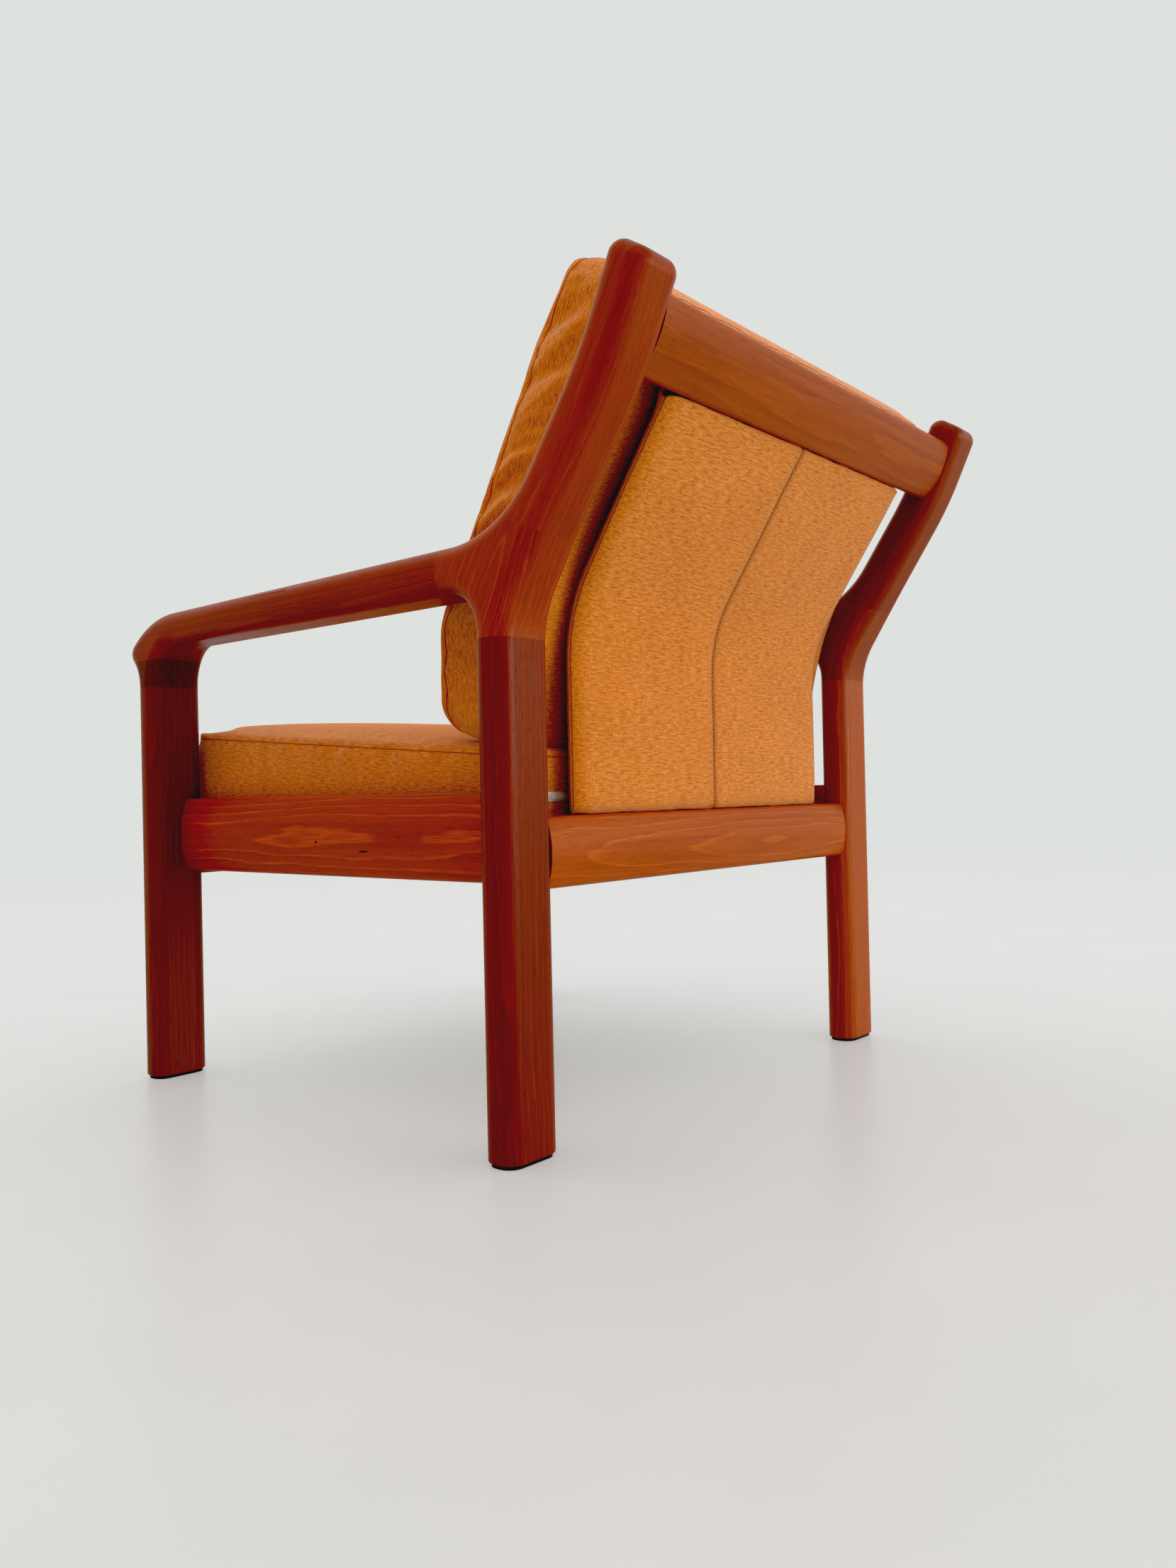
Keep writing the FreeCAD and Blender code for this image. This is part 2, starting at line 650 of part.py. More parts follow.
wood = {
    "front_leg": frame_piece("front_leg", ("0", AHEAD, "0"), (PAST, MID_Y, "Dims.leg_joint_front"),
                             [front_rail_bar, side_rail_bar, *front_pegs, *side_pegs[2:],
                              *block_pegs, nails[1]]),
    "arm_block": frame_piece("arm_block", ("0", AHEAD, "Dims.leg_joint_front"),
                             (PAST, MID_Y, "Dims.block_joint"), block_pegs),
    "armrest": frame_piece("armrest", ("0", AHEAD, "Dims.block_joint"), (PAST, ARM_END, PAST),
                           block_pegs + arm_pegs),
    "back_junction": frame_piece("back_junction", ("0", ARM_END, "Dims.leg_joint_rear"),
                                 (PAST, PAST, PAST), elbow_pegs + arm_pegs + post_pegs, upper=slab),
    "back_post": frame_piece("back_post", ("0", ARM_END, "Dims.leg_joint_rear"),
                             (PAST, PAST, PAST), [crest_rail_bar, *crest_pegs, *post_pegs],
                             lower=slab),
    "rear_leg": frame_piece("rear_leg", ("0", MID_Y, "0"), (PAST, PAST, "Dims.leg_joint_rear"),
                            [rear_rail_bar, side_rail_bar, *rear_pegs, *side_pegs[:2],
                             *elbow_pegs, nails[0]]),
    "side_rail": cut("left_side_rail", side_rail_bar, group("side_rail_tools",
                                                            [clip_blanks, *side_pegs])),
}


# ---- bent back panel ------------------------------------------------------------------------

def bent_slab(name, ahead, thick, half_width, foot_z):
    """A slab that stands upright and then leans back, starting some way ahead of the panel's rear."""
    body = new_body(name, "Dims.rear_leg_y")

    def bend(offset):
        return (f"Dims.panel_rear_y - ({offset})",
                f"Dims.panel_bend_z + ({offset}) * tan(Dims.panel_lean / 2)")

    def top(offset):
        y, z = bend(offset)
        return (f"{y} + Dims.panel_reach * sin(Dims.panel_lean)",
                f"{z} + Dims.panel_reach * cos(Dims.panel_lean)")

    front = f"{ahead} + {thick}"
    corners = [(bend(ahead)[0], foot_z), bend(ahead), top(ahead), top(front), bend(front),
               (bend(front)[0], foot_z)]
    sketch, places = outline_sketch(body, "YZ_Plane", corners)
    feature = add_pad(body, sketch, f"2 * ({half_width})")
    feature = round_corner(body, feature, places[1], f"Dims.panel_bend_round + {ahead}", X_AXIS)
    round_corner(body, feature, places[4], f"Dims.panel_bend_round + {front}", X_AXIS)
    return body


def above_crest(name, gap):
    """Everything above the crest rail's underside, less a gap."""
    over = doc.addObject("Part::Box", name)
    below = f"(Dims.crest_height / 2 + {gap})"
    half = "Dims.past_chair / 2"
    place(over, f"-{half}",
          f"Dims.rear_leg_y + Dims.crest_y - sin(Dims.crest_lean) * {below}"
          f" - {half} * cos(Dims.crest_lean)",
          f"Dims.crest_z - cos(Dims.crest_lean) * {below} + {half} * sin(Dims.crest_lean)",
          X_AXIS, "-Dims.crest_lean")
    bind(over, Length="Dims.past_chair", Width="Dims.past_chair", Height="Dims.past_chair")
    return over


rail_top = "Dims.rail_bottom + Dims.rail_height"
panel_body = bent_slab("panel_outer", "0", "Dims.panel_thickness", "Dims.panel_half_width",
                       rail_top)
half_panel = size("panel_half_width")
round_edges(panel_body, panel_body.Tip, "Dims.panel_edge_round",
            lambda edge: abs(abs(middle(edge).x) - half_panel) < NEAR)
board_body = bent_slab("board_outer", "Dims.board_skin", "Dims.board_thickness",
                       "Dims.panel_half_width - Dims.board_margin",
                       f"{rail_top} + Dims.board_end")
lining_front = "Dims.panel_thickness - Dims.lining_thickness"
lining_body = bent_slab("lining_outer", lining_front, "Dims.lining_thickness",
                        "Dims.panel_half_width - Dims.lining_margin",
                        f"{rail_top} + Dims.lining_margin")
panel_trimmed = cut("panel_trimmed", panel_body, above_crest("crest_limit", "0"))
board_trimmed = cut("board_trimmed", board_body, above_crest("board_limit", "Dims.board_end"))
back_panel_lining = cut("back_panel_lining", lining_body,
                        above_crest("lining_limit", "Dims.lining_margin"))

panel_mid_y = "Dims.rear_leg_y + Dims.panel_rear_y - Dims.board_skin - Dims.board_thickness / 2"
lean = math.radians(size("panel_lean"))
low_pegs = [dowel("panel_low_peg", ("Dims.panel_dowel_out", panel_mid_y,
                                    f"{rail_top} - Dims.panel_dowel_reach"), Z_AXIS,
                  "2 * Dims.panel_dowel_reach", "Dims.panel_dowel_radius")]
panel_offset = "(Dims.board_skin + Dims.board_thickness / 2)"
high_run = "(Dims.panel_reach - Dims.crest_run)"
high_pegs = [dowel("panel_high_peg",
                   ("Dims.panel_dowel_out",
                    f"Dims.rear_leg_y + Dims.panel_rear_y - {panel_offset}"
                    f" + {high_run} * sin(Dims.panel_lean)",
                    f"Dims.panel_bend_z + {panel_offset} * tan(Dims.panel_lean / 2)"
                    f" + {high_run} * cos(Dims.panel_lean)"),
                   vector(0, math.sin(lean), math.cos(lean)), "2 * Dims.panel_dowel_reach",
                   "Dims.panel_dowel_radius")]
panel_dowels = both_sides("panel_dowels", low_pegs + high_pegs)
back_panel_board = cut("back_panel_board", board_trimmed, panel_dowels)
back_panel_cover = cut("back_panel_cover", panel_trimmed,
                       group("panel_core", [board_trimmed, back_panel_lining, panel_dowels]))

rear_rail = cut("rear_rail", rear_rail_bar,
                group("rear_rail_tools", [*both_sides("rear_pegs", rear_pegs).Links,
                                          panel_dowels]))
front_rail = cut("front_rail", front_rail_bar, both_sides("front_pegs", front_pegs))
crest_rail = cut("crest_rail", crest_rail_bar,
                 group("crest_tools", [crest_dowels, panel_dowels]))


# ---- seat cushion, drawn on the sloping seat plane ------------------------------------------

def crowned_pad(name, inset):
    """A boxed cushion, crowned in both directions, its rear lower edge on the local origin."""
    half = f"(Dims.seat_half_width - {inset})"
    deep = f"(Dims.seat_depth - 2 * {inset})"
    top = f"(Dims.seat_side_height - {inset})"
    bodies = []
    for role, start, end in (("YZ_Plane", f"-{inset} - {deep}", f"-{inset}"),
                             ("XZ_Plane", f"-{half}", half)):
        body = new_body(f"{name}_{role[:2].lower()}")
        chord = f"(({end}) - ({start}))"
        radius = f"(({chord} / 2) ^ 2 + Dims.seat_crown ^ 2) / (2 * Dims.seat_crown)"
        corners = [(start, inset), (end, inset), (end, top), (start, top)]
        sketch = outline_sketch(body, role, corners, {2: (radius, 1)})[0]
        add_pad(body, sketch, "2 * Dims.past_chair")
        bodies.append(body)
    block_shape = common(name + "_block", *bodies)
    doc.recompute()
    rounded = doc.addObject("Part::Fillet", name + "_rounded")
    rounded.Base = block_shape
    radius = size("seat_corner_round")
    rounded.Edges = [(n, radius, radius) for n, edge in enumerate(block_shape.Shape.Edges, start=1)
                     if along(edge, Z_AXIS)]
    doc.recompute()
    return rounded


seat_outer = crowned_pad("seat_outer", "0")
seat_core = crowned_pad("seat_core", "Dims.cover_skin")
zip_low = "Dims.zip_rise - Dims.zip_height / 2"
zip_high = "Dims.zip_rise + Dims.zip_height / 2"
zip_blank = block("zip_blank", ("-Dims.zip_half_length", "-Dims.zip_sunk", zip_low),
                  ("Dims.zip_half_length", "Dims.zip_proud", zip_high))
seat_cover = on_seat_plane(cut("seat_cover", seat_outer, group("seat_hollow",
                                                               [seat_core, zip_blank])))
seat_foam = on_seat_plane(group("seat_foam", [seat_core]))
seat_zip = on_seat_plane(group("seat_zip", [zip_blank]))

slider_y = "Dims.zip_proud + Dims.slider_gap"
slider_end = "-Dims.zip_half_length + Dims.slider_width"
slider_body = block("slider_block",
                    ("-Dims.zip_half_length", slider_y, "Dims.zip_rise - Dims.slider_height / 2"),
                    (slider_end, f"{slider_y} + Dims.slider_proud",
                     "Dims.zip_rise + Dims.slider_height / 2"))
pull_x = "-Dims.zip_half_length + (Dims.slider_width - Dims.pull_width) / 2"
slider_pull = block("slider_pull", (pull_x, f"{slider_y} + Dims.slider_gap",
                                    "Dims.zip_rise - Dims.pull_length"),
                    (f"{pull_x} + Dims.pull_width",
                     f"{slider_y} + Dims.slider_gap + Dims.pull_thickness", "Dims.zip_rise"))
slider_joined = doc.addObject("Part::Fuse", "seat_zip_slider")
slider_joined.Base = slider_body
slider_joined.Tool = slider_pull
seat_zip_slider = on_seat_plane(slider_joined)


# ---- back cushion ---------------------------------------------------------------------------

def back_pad(name, inset, half_width):
    """The back cushion's side view, every side drawn in by the inset."""
    body = new_body(name, "Dims.rear_leg_y")
    # a corner moves by the inset's share across and up that its own angle asks for
    corners = [
        (f"Dims.back_front_low_y + {inset}", f"Dims.back_front_low_z + {inset}"),
        (f"Dims.back_waist_y - {inset}", f"Dims.back_rear_low_z + 1.5 * {inset}"),
        (f"Dims.back_waist_y - {inset}", f"Dims.back_waist_z + 0.3 * {inset}"),
        (f"Dims.back_top_rear_y - 1.2 * {inset}", f"Dims.back_top_rear_z - 0.2 * {inset}"),
        (f"Dims.back_top_front_y + 0.5 * {inset}", f"Dims.back_top_front_z - 1.4 * {inset}"),
        (f"Dims.back_belly_y + 1.1 * {inset}", f"Dims.back_belly_z - 0.2 * {inset}"),
    ]
    rounds = ["low", "low", "rear", "rear_top", "top", "belly"]
    sketch, places = outline_sketch(body, "YZ_Plane", corners)
    feature = add_pad(body, sketch, f"2 * ({half_width})")
    for corner, kind in zip(places, rounds):
        feature = round_corner(body, feature, corner, f"Dims.back_{kind}_round", X_AXIS)
    return body


back_body = back_pad("back_outer", "0", "Dims.back_half_width")
half_back = size("back_half_width")
round_edges(back_body, back_body.Tip, "Dims.back_corner_round",
            lambda edge: abs(abs(middle(edge).x) - half_back) < NEAR)
back_core = back_pad("back_core", "Dims.cover_skin",
                     "Dims.back_half_width - Dims.back_corner_round")
back_cover = cut("back_cover", back_body, back_core)
back_foam = group("back_foam", [back_core])

doc.recompute()

# ---- the named pieces -----------------------------------------------------------------------

pieces = {
    "front_rail": front_rail,
    "rear_rail": rear_rail,
    "crest_rail": crest_rail,
    "rail_dowels": rail_dowels,
    "crest_dowels": crest_dowels,
    "arm_dowels": arm_dowels,
    "foot_glides": foot_glides,
    "glide_nails": glide_nails,
    "seat_webbing": seat_webbing,
    "webbing_clips": webbing_clips,
    "back_panel_board": back_panel_board,
    "back_panel_cover": back_panel_cover,
    "back_panel_lining": back_panel_lining,
    "panel_dowels": panel_dowels,
    "seat_foam": seat_foam,
    "seat_cover": seat_cover,
    "seat_zip": seat_zip,
    "seat_zip_slider": seat_zip_slider,
    "back_foam": back_foam,
    "back_cover": back_cover,
}
for name, piece in wood.items():
    pieces["left_" + name] = piece
    pieces["right_" + name] = mirrored("right_" + name, piece)
doc.recompute()

for obj in doc.Objects:
    if "Invalid" in obj.State or "Error" in obj.State:
        raise RuntimeError(f"{obj.Name} did not recompute: {obj.State}")

whole = FreeCAD.BoundBox()
for name, piece in pieces.items():
    piece.Label = name
    shape = piece.Shape
    if shape.isNull() or not shape.isValid() or not shape.Solids:
        raise RuntimeError(f"{name} has no valid solid")
    whole.add(shape.optimalBoundingBox(False, False))
    shape.exportStep(f"parts/{name}.step")
print("size", round(whole.XLength, 2), round(whole.YLength, 2), round(whole.ZLength, 2))
print("middle", round(whole.Center.x, 3), round(whole.Center.y, 3), "lowest", round(whole.ZMin, 3))
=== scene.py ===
"""Looks of a lounge armchair: oiled teak frame, bent upholstered back panel, two boxed cushions.

Metres, in the CAD frame: +Z up, the sitter faces -Y, the sitter's left is +X.
"""
import json
import math

import bpy
import numpy as np
from mathutils import Matrix, Vector, noise
from mathutils.bvhtree import BVHTree


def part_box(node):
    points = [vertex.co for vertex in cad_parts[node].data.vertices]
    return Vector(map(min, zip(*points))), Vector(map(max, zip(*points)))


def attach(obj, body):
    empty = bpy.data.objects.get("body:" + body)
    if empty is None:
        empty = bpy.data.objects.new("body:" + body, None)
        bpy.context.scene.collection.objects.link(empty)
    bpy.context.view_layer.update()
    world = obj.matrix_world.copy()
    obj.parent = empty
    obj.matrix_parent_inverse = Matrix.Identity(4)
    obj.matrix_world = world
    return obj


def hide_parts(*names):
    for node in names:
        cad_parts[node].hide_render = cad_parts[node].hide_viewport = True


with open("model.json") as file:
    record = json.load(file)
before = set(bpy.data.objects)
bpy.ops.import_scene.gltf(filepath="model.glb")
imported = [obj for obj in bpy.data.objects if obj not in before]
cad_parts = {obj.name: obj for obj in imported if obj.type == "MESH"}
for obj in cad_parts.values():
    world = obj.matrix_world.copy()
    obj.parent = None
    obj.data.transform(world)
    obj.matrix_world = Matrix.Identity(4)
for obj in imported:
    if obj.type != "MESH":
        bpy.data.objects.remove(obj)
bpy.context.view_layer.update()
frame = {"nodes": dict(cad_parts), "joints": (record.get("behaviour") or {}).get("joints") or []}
NODES = frame["nodes"]

# ---- camera ---------------------------------------------------------------------------------

REAR_LEG_Y = sum(corner.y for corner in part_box("left_rear_leg")) / 2
CAMERA_PLACE = Vector((1.1261, REAR_LEG_Y + 0.7497, 0.3424))
CAMERA_HEADING = 4.02        # radians from +Y towards +X
CAMERA_PITCH = 0.0072
CAMERA_ROLL = -0.022
FOCAL_PER_WIDTH = 0.9904     # focal length over the picture's width
SENSOR = 36.0


def add_camera():
    """The viewpoint: low and close, behind the chair's left rear corner."""
    ahead = Vector((math.cos(CAMERA_PITCH) * math.sin(CAMERA_HEADING),
                    math.cos(CAMERA_PITCH) * math.cos(CAMERA_HEADING), math.sin(CAMERA_PITCH)))
    across = Vector((math.cos(CAMERA_HEADING), -math.sin(CAMERA_HEADING), 0))
    up = across.cross(ahead)
    right = across * math.cos(CAMERA_ROLL) + up * math.sin(CAMERA_ROLL)
    up = up * math.cos(CAMERA_ROLL) - across * math.sin(CAMERA_ROLL)
    data = bpy.data.cameras.new("camera")
    data.sensor_fit = "HORIZONTAL"
    data.sensor_width = SENSOR
    data.lens = FOCAL_PER_WIDTH * SENSOR
    data.clip_start = 0.02
    camera = bpy.data.objects.new("camera", data)
    bpy.context.scene.collection.objects.link(camera)
    turn = Matrix((right, up, -ahead)).transposed().to_4x4()
    camera.matrix_world = Matrix.Translation(CAMERA_PLACE) @ turn
    bpy.context.scene.camera = camera


# ---- node helpers ---------------------------------------------------------------------------

class Tree:
    """Short calls for a material's node tree."""

    def __init__(self, name):
        self.material = bpy.data.materials.new(name)
        self.material.use_nodes = True
        self.nodes = self.material.node_tree.nodes
        self.links = self.material.node_tree.links
        self.shader = self.nodes["Principled BSDF"]

    def plug(self, socket, value):
        if isinstance(value, bpy.types.NodeSocket):
            self.links.new(value, socket)
        elif value is not None:
            socket.default_value = value

    def add(self, kind, inputs=(), output=0, **settings):
        """A node with its settings and inputs; returns one output."""
        made = self.nodes.new("ShaderNode" + kind)
        for key, value in settings.items():
            setattr(made, key, value)
        pairs = inputs.items() if isinstance(inputs, dict) else enumerate(inputs)
        for key, value in pairs:
            self.plug(made.inputs[key], value)
        return made.outputs[output]

    def math(self, operation, *values):
        return self.add("Math", values, operation=operation)

    def vector_math(self, operation, *values):
        return self.add("VectorMath", values, operation=operation)

    def mix(self, factor, first, second, blend="MIX"):
        made = self.nodes.new("ShaderNodeMix")
        made.data_type = "RGBA"
        made.blend_type = blend
        for key, value in ((0, factor), (6, first), (7, second)):
            self.plug(made.inputs[key], value)
        return made.outputs[2]

    def ramp(self, value, *stops):
        made = self.nodes.new("ShaderNodeValToRGB")
        elements = made.color_ramp.elements
        while len(elements) < len(stops):
            elements.new(0.5)
        for element, (place, colour) in zip(elements, stops):
            element.position = place
            element.color = colour if len(colour) == 4 else (*colour, 1)
        self.plug(made.inputs[0], value)
        return made.outputs[0]

    def noise(self, vector, scale, detail=2.0, roughness=0.5):
        return self.add("TexNoise", {"Vector": vector, "Scale": scale, "Detail": detail,
                                     "Roughness": roughness})

    def smooth(self, value, low, high):
        """0 below low, 1 above high, smooth between."""
        made = self.nodes.new("ShaderNodeMapRange")
        made.interpolation_type = "SMOOTHSTEP"
        for key, given in (("Value", value), ("From Min", low), ("From Max", high)):
            self.plug(made.inputs[key], given)
        return made.outputs[0]

    def finish(self, colour, roughness, bump=None, bump_distance=0.0005, **settings):
        self.plug(self.shader.inputs["Base Color"], colour)
        self.plug(self.shader.inputs["Roughness"], roughness)
        for name, value in settings.items():
            self.plug(self.shader.inputs[name.replace("_", " ")], value)
        if bump is not None:
            normal = self.add("Bump", {"Height": bump, "Distance": bump_distance, "Strength": 1.0})
            self.plug(self.shader.inputs["Normal"], normal)
        return self.material


def grey(value):
    return (value, value, value, 1)


# ---- teak -----------------------------------------------------------------------------------

TEAK_LIGHT = (0.60, 0.175, 0.032)
TEAK_MID = (0.455, 0.106, 0.018)
TEAK_DARK = (0.245, 0.044, 0.011)
RING_PITCH = 0.0075
FIBRE_WIDTH = 0.0012
CHECK_COLOUR = (0.02, 0.006, 0.004, 1)
PLAIN_FIGURE = 0.6            # the pale ring lines of a board that FIGURE doesn't name


def shade(colour, factor):
    return tuple(channel * factor for channel in colour)


def teak(name, grain, pith, seed, tone, red, figure):
    """Oiled teak whose growth rings run along grain, round a pith line offset sideways by pith.

    figure is the strength of the pale ring lines.
    """
    tree = Tree("teak_" + name)
    place = tree.add("TexCoord", output="Object")
    turn = Vector(grain).normalized().rotation_difference(Vector((0, 0, 1))).to_euler()
    along = tree.add("Mapping", {"Vector": place, "Rotation": turn,
                                 "Location": (pith[0], pith[1], seed * 1.7)})
    # rings: the distance from the pith, made to wander along the board
    wander = tree.noise(tree.vector_math("MULTIPLY", along, (15, 15, 2.4)), 1.0, 2.0, 0.5)
    ripple = tree.noise(tree.vector_math("MULTIPLY", along, (75, 75, 9)), 1.0, 2.0, 0.5)
    across = tree.add("VectorMath", [tree.vector_math("MULTIPLY", along, (1, 1, 0))],
                      output="Value", operation="LENGTH")
    radius = tree.math("ADD", across, tree.math("MULTIPLY", wander, 0.036))
    radius = tree.math("ADD", radius, tree.math("MULTIPLY", ripple, 0.0050))
    rings = tree.math("FRACT", tree.math("DIVIDE", radius, RING_PITCH))
    line = tree.math("MULTIPLY", tree.smooth(rings, 0.70, 0.90), tree.smooth(rings, 1.0, 0.94))
    thin = tree.vector_math("MULTIPLY", along, (1, 1, 0.028))
    fibre = tree.noise(thin, 1 / FIBRE_WIDTH, 3.0, 0.6)
    streak = tree.noise(thin, 0.16 / FIBRE_WIDTH, 2.0, 0.5)
    broad = tree.noise(tree.vector_math("MULTIPLY", along, (1, 1, 0.3)), 9.0, 2.0, 0.5)
    # tone and red darken and redden a board; for the shaded legs and arm blocks this is painted
    # shade
    light, mid, dark = (shade(colour, tone) for colour in (TEAK_LIGHT, TEAK_MID, TEAK_DARK))
    light = (light[0], light[1] * (1 - red), light[2] * (1 - red))
    mid = (mid[0], mid[1] * (1 - red), mid[2] * (1 - red))
    body = tree.mix(tree.math("MULTIPLY", tree.smooth(streak, 0.66, 0.26), 0.34),
                    (*mid, 1), (*dark, 1))
    body = tree.mix(tree.math("MULTIPLY", tree.smooth(broad, 0.35, 0.72), 0.30), body, (*light, 1))
    body = tree.mix(tree.math("MULTIPLY", tree.smooth(rings, 0.42, 0.05), 0.16), body, (*dark, 1))
    faint = tree.math("MULTIPLY", line, tree.smooth(fibre, 0.26, 0.66))
    body = tree.mix(tree.math("MULTIPLY", faint, figure), body, (*shade(light, 1.1), 1))
    tint = tree.ramp(fibre, (0.25, grey(0.84)), (0.55, grey(1.0)), (0.8, grey(1.08)))
    body = tree.mix(1.0, body, tint, "MULTIPLY")
    pores = tree.noise(tree.vector_math("MULTIPLY", along, (1, 1, 0.045)), 1600.0, 1.0, 0.4)
    pore_mask = tree.smooth(pores, 0.66, 0.74)
    body = tree.mix(tree.math("MULTIPLY", pore_mask, 0.42), body, (*shade(dark, 0.5), 1))
    # the ends of the fibres drink more oil and go darker
    facing = tree.add("VectorMath", [tree.add("TexCoord", output="Normal"),
                                     Vector(grain).normalized()],
                      output="Value", operation="DOT_PRODUCT")
    end = tree.smooth(tree.math("ABSOLUTE", facing), 0.50, 0.92)
    body = tree.mix(tree.math("MULTIPLY", end, 0.6), body, (*shade(dark, 0.8), 1))
    wobble = tree.noise(place, 180.0, 2.0)
    for centre, half_length, half_width in MARKS.get(name, ()):
        offset = tree.vector_math("SUBTRACT", place, (centre[0], REAR_LEG_Y + centre[1], centre[2]))
        turned = tree.add("Mapping", {"Vector": offset, "Rotation": turn})
        scaled = tree.vector_math("MULTIPLY", turned,
                                  (1 / half_width, 1 / half_width, 1 / half_length))
        reach = tree.add("VectorMath", [scaled], output="Value", operation="LENGTH")
        reach = tree.math("ADD", reach, tree.math("MULTIPLY", wobble, 0.9))
        body = tree.mix(tree.smooth(reach, 1.5, 1.0), body, CHECK_COLOUR)
    height = tree.math("SUBTRACT", tree.math("MULTIPLY", fibre, 0.35), pore_mask)
    roughness = tree.add("MapRange", {"Value": fibre, "From Min": 0.3, "From Max": 0.7,
                                      "To Min": 0.34, "To Max": 0.48})
    return tree.finish(body, roughness, height, 0.00010, Specular_IOR_Level=0.42)


def paint(node, material):
    """Give a CAD node one material in its own slots."""
    data = NODES[node].data
    if not data.materials:
        data.materials.append(material)
    for index in range(len(data.materials)):
        data.materials[index] = material


UP = (0, 0, 1)
LEAN = (0, math.sin(math.radians(32)), math.cos(math.radians(32)))
ELBOW_LEAN = (0, 0.42, 0.9)
ALONG = (0, 1, 0.01)
ACROSS = (1, 0.012, 0.008)
FIRST_RAIL_SEED = 11


# dark checks in the wood: place from the rear legs' axis, half length and half width
MARKS = {
    "left_side_rail": [((0.3295, -0.2230, 0.2848), 0.012, 0.0013),
                       ((0.3295, -0.3027, 0.2942), 0.003, 0.0016)],
    "left_back_post": [((0.3606, 0.1426, 0.6722), 0.009, 0.0024)],
    "crest_rail": [((0.0970, 0.1625, 0.7308), 0.003, 0.0020)],
}


# how strongly the pale ring lines show in the plainer and the livelier boards
FIGURE = {"side_rail": 0.9, "rear_rail": 0.45, "crest_rail": 0.2, "back_post": 0.35, "armrest": 0.4}


def board_middle(name, grain):
    """A piece's middle once its grain is turned upright."""
    low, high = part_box(name)
    return Vector(grain).normalized().rotation_difference(Vector((0, 0, 1))) @ ((low + high) / 2)


def paint_frame():
    """Each wooden piece gets its own board of teak, its grain along the piece.

    A board has its grain, its pith beside the piece (level, then the other way across) and a
    tone and redness for the left and the right piece. Part of these is painted shade: the legs
    and arm blocks, which stand in shade, the left ones most, are made darker and redder than
    the lit rails and right rear leg.
    """
    # painted shade: low tones and high reds darken and redden the shaded legs and arm blocks
    boards = {
        "front_leg": (UP, (0.055, 0.02), (0.43, 0.58), (0.20, 0.10)),
        "rear_leg": (UP, (0.05, 0.035), (0.46, 0.80), (0.42, 0.08)),
        "arm_block": (UP, (0.06, 0.01), (0.30, 0.44), (0.25, 0.10)),
        "armrest": (ALONG, (0.045, 0.03), (0.56, 0.60), (0.36, 0.15)),
        "back_junction": (ELBOW_LEAN, (0.05, 0.005), (0.70, 0.62), (0.30, 0.15)),
        "back_post": (LEAN, (0.045, 0.03), (0.68, 0.56), (0.30, 0.20)),
        "side_rail": (ALONG, (0.047, 0.004), (0.82, 0.84), (0.34, 0.10)),
    }
    for number, (piece, (grain, pith, tones_with_painted_shade, reds_with_painted_shade)) in enumerate(boards.items()):
        for side, sign, tone, red in zip(("left", "right"), (1, -1), tones_with_painted_shade, reds_with_painted_shade):
            name = f"{side}_{piece}"
            middle = board_middle(name, grain)
            offset = (-middle.x - pith[0] * sign, -middle.y - pith[1])
            seed = number + (0.37 if sign > 0 else 0.81)
            paint(name, teak(name, grain, offset, seed, tone, red, FIGURE.get(piece, PLAIN_FIGURE)))
    rails = {"front_rail": ((0.004, 0.05), 0.88), "rear_rail": ((0.006, 0.046), 0.92),
             "crest_rail": ((0.035, 0.045), 0.77)}
    for number, (name, (pith, tone)) in enumerate(rails.items()):
        middle = board_middle(name, ACROSS)
        offset = (-middle.x - pith[0], -middle.y - pith[1])
        figure = FIGURE.get(name, PLAIN_FIGURE)
        paint(name, teak(name, ACROSS, offset, FIRST_RAIL_SEED + number, tone, 0.0, figure))


# ---- cloth and small materials --------------------------------------------------------------

CLOTH_LIGHT = (0.88, 0.382, 0.108)
CLOTH_MID = (0.71, 0.250, 0.062)
CLOTH_DARK = (0.33, 0.078, 0.025)
THREAD_PITCH = 0.0019


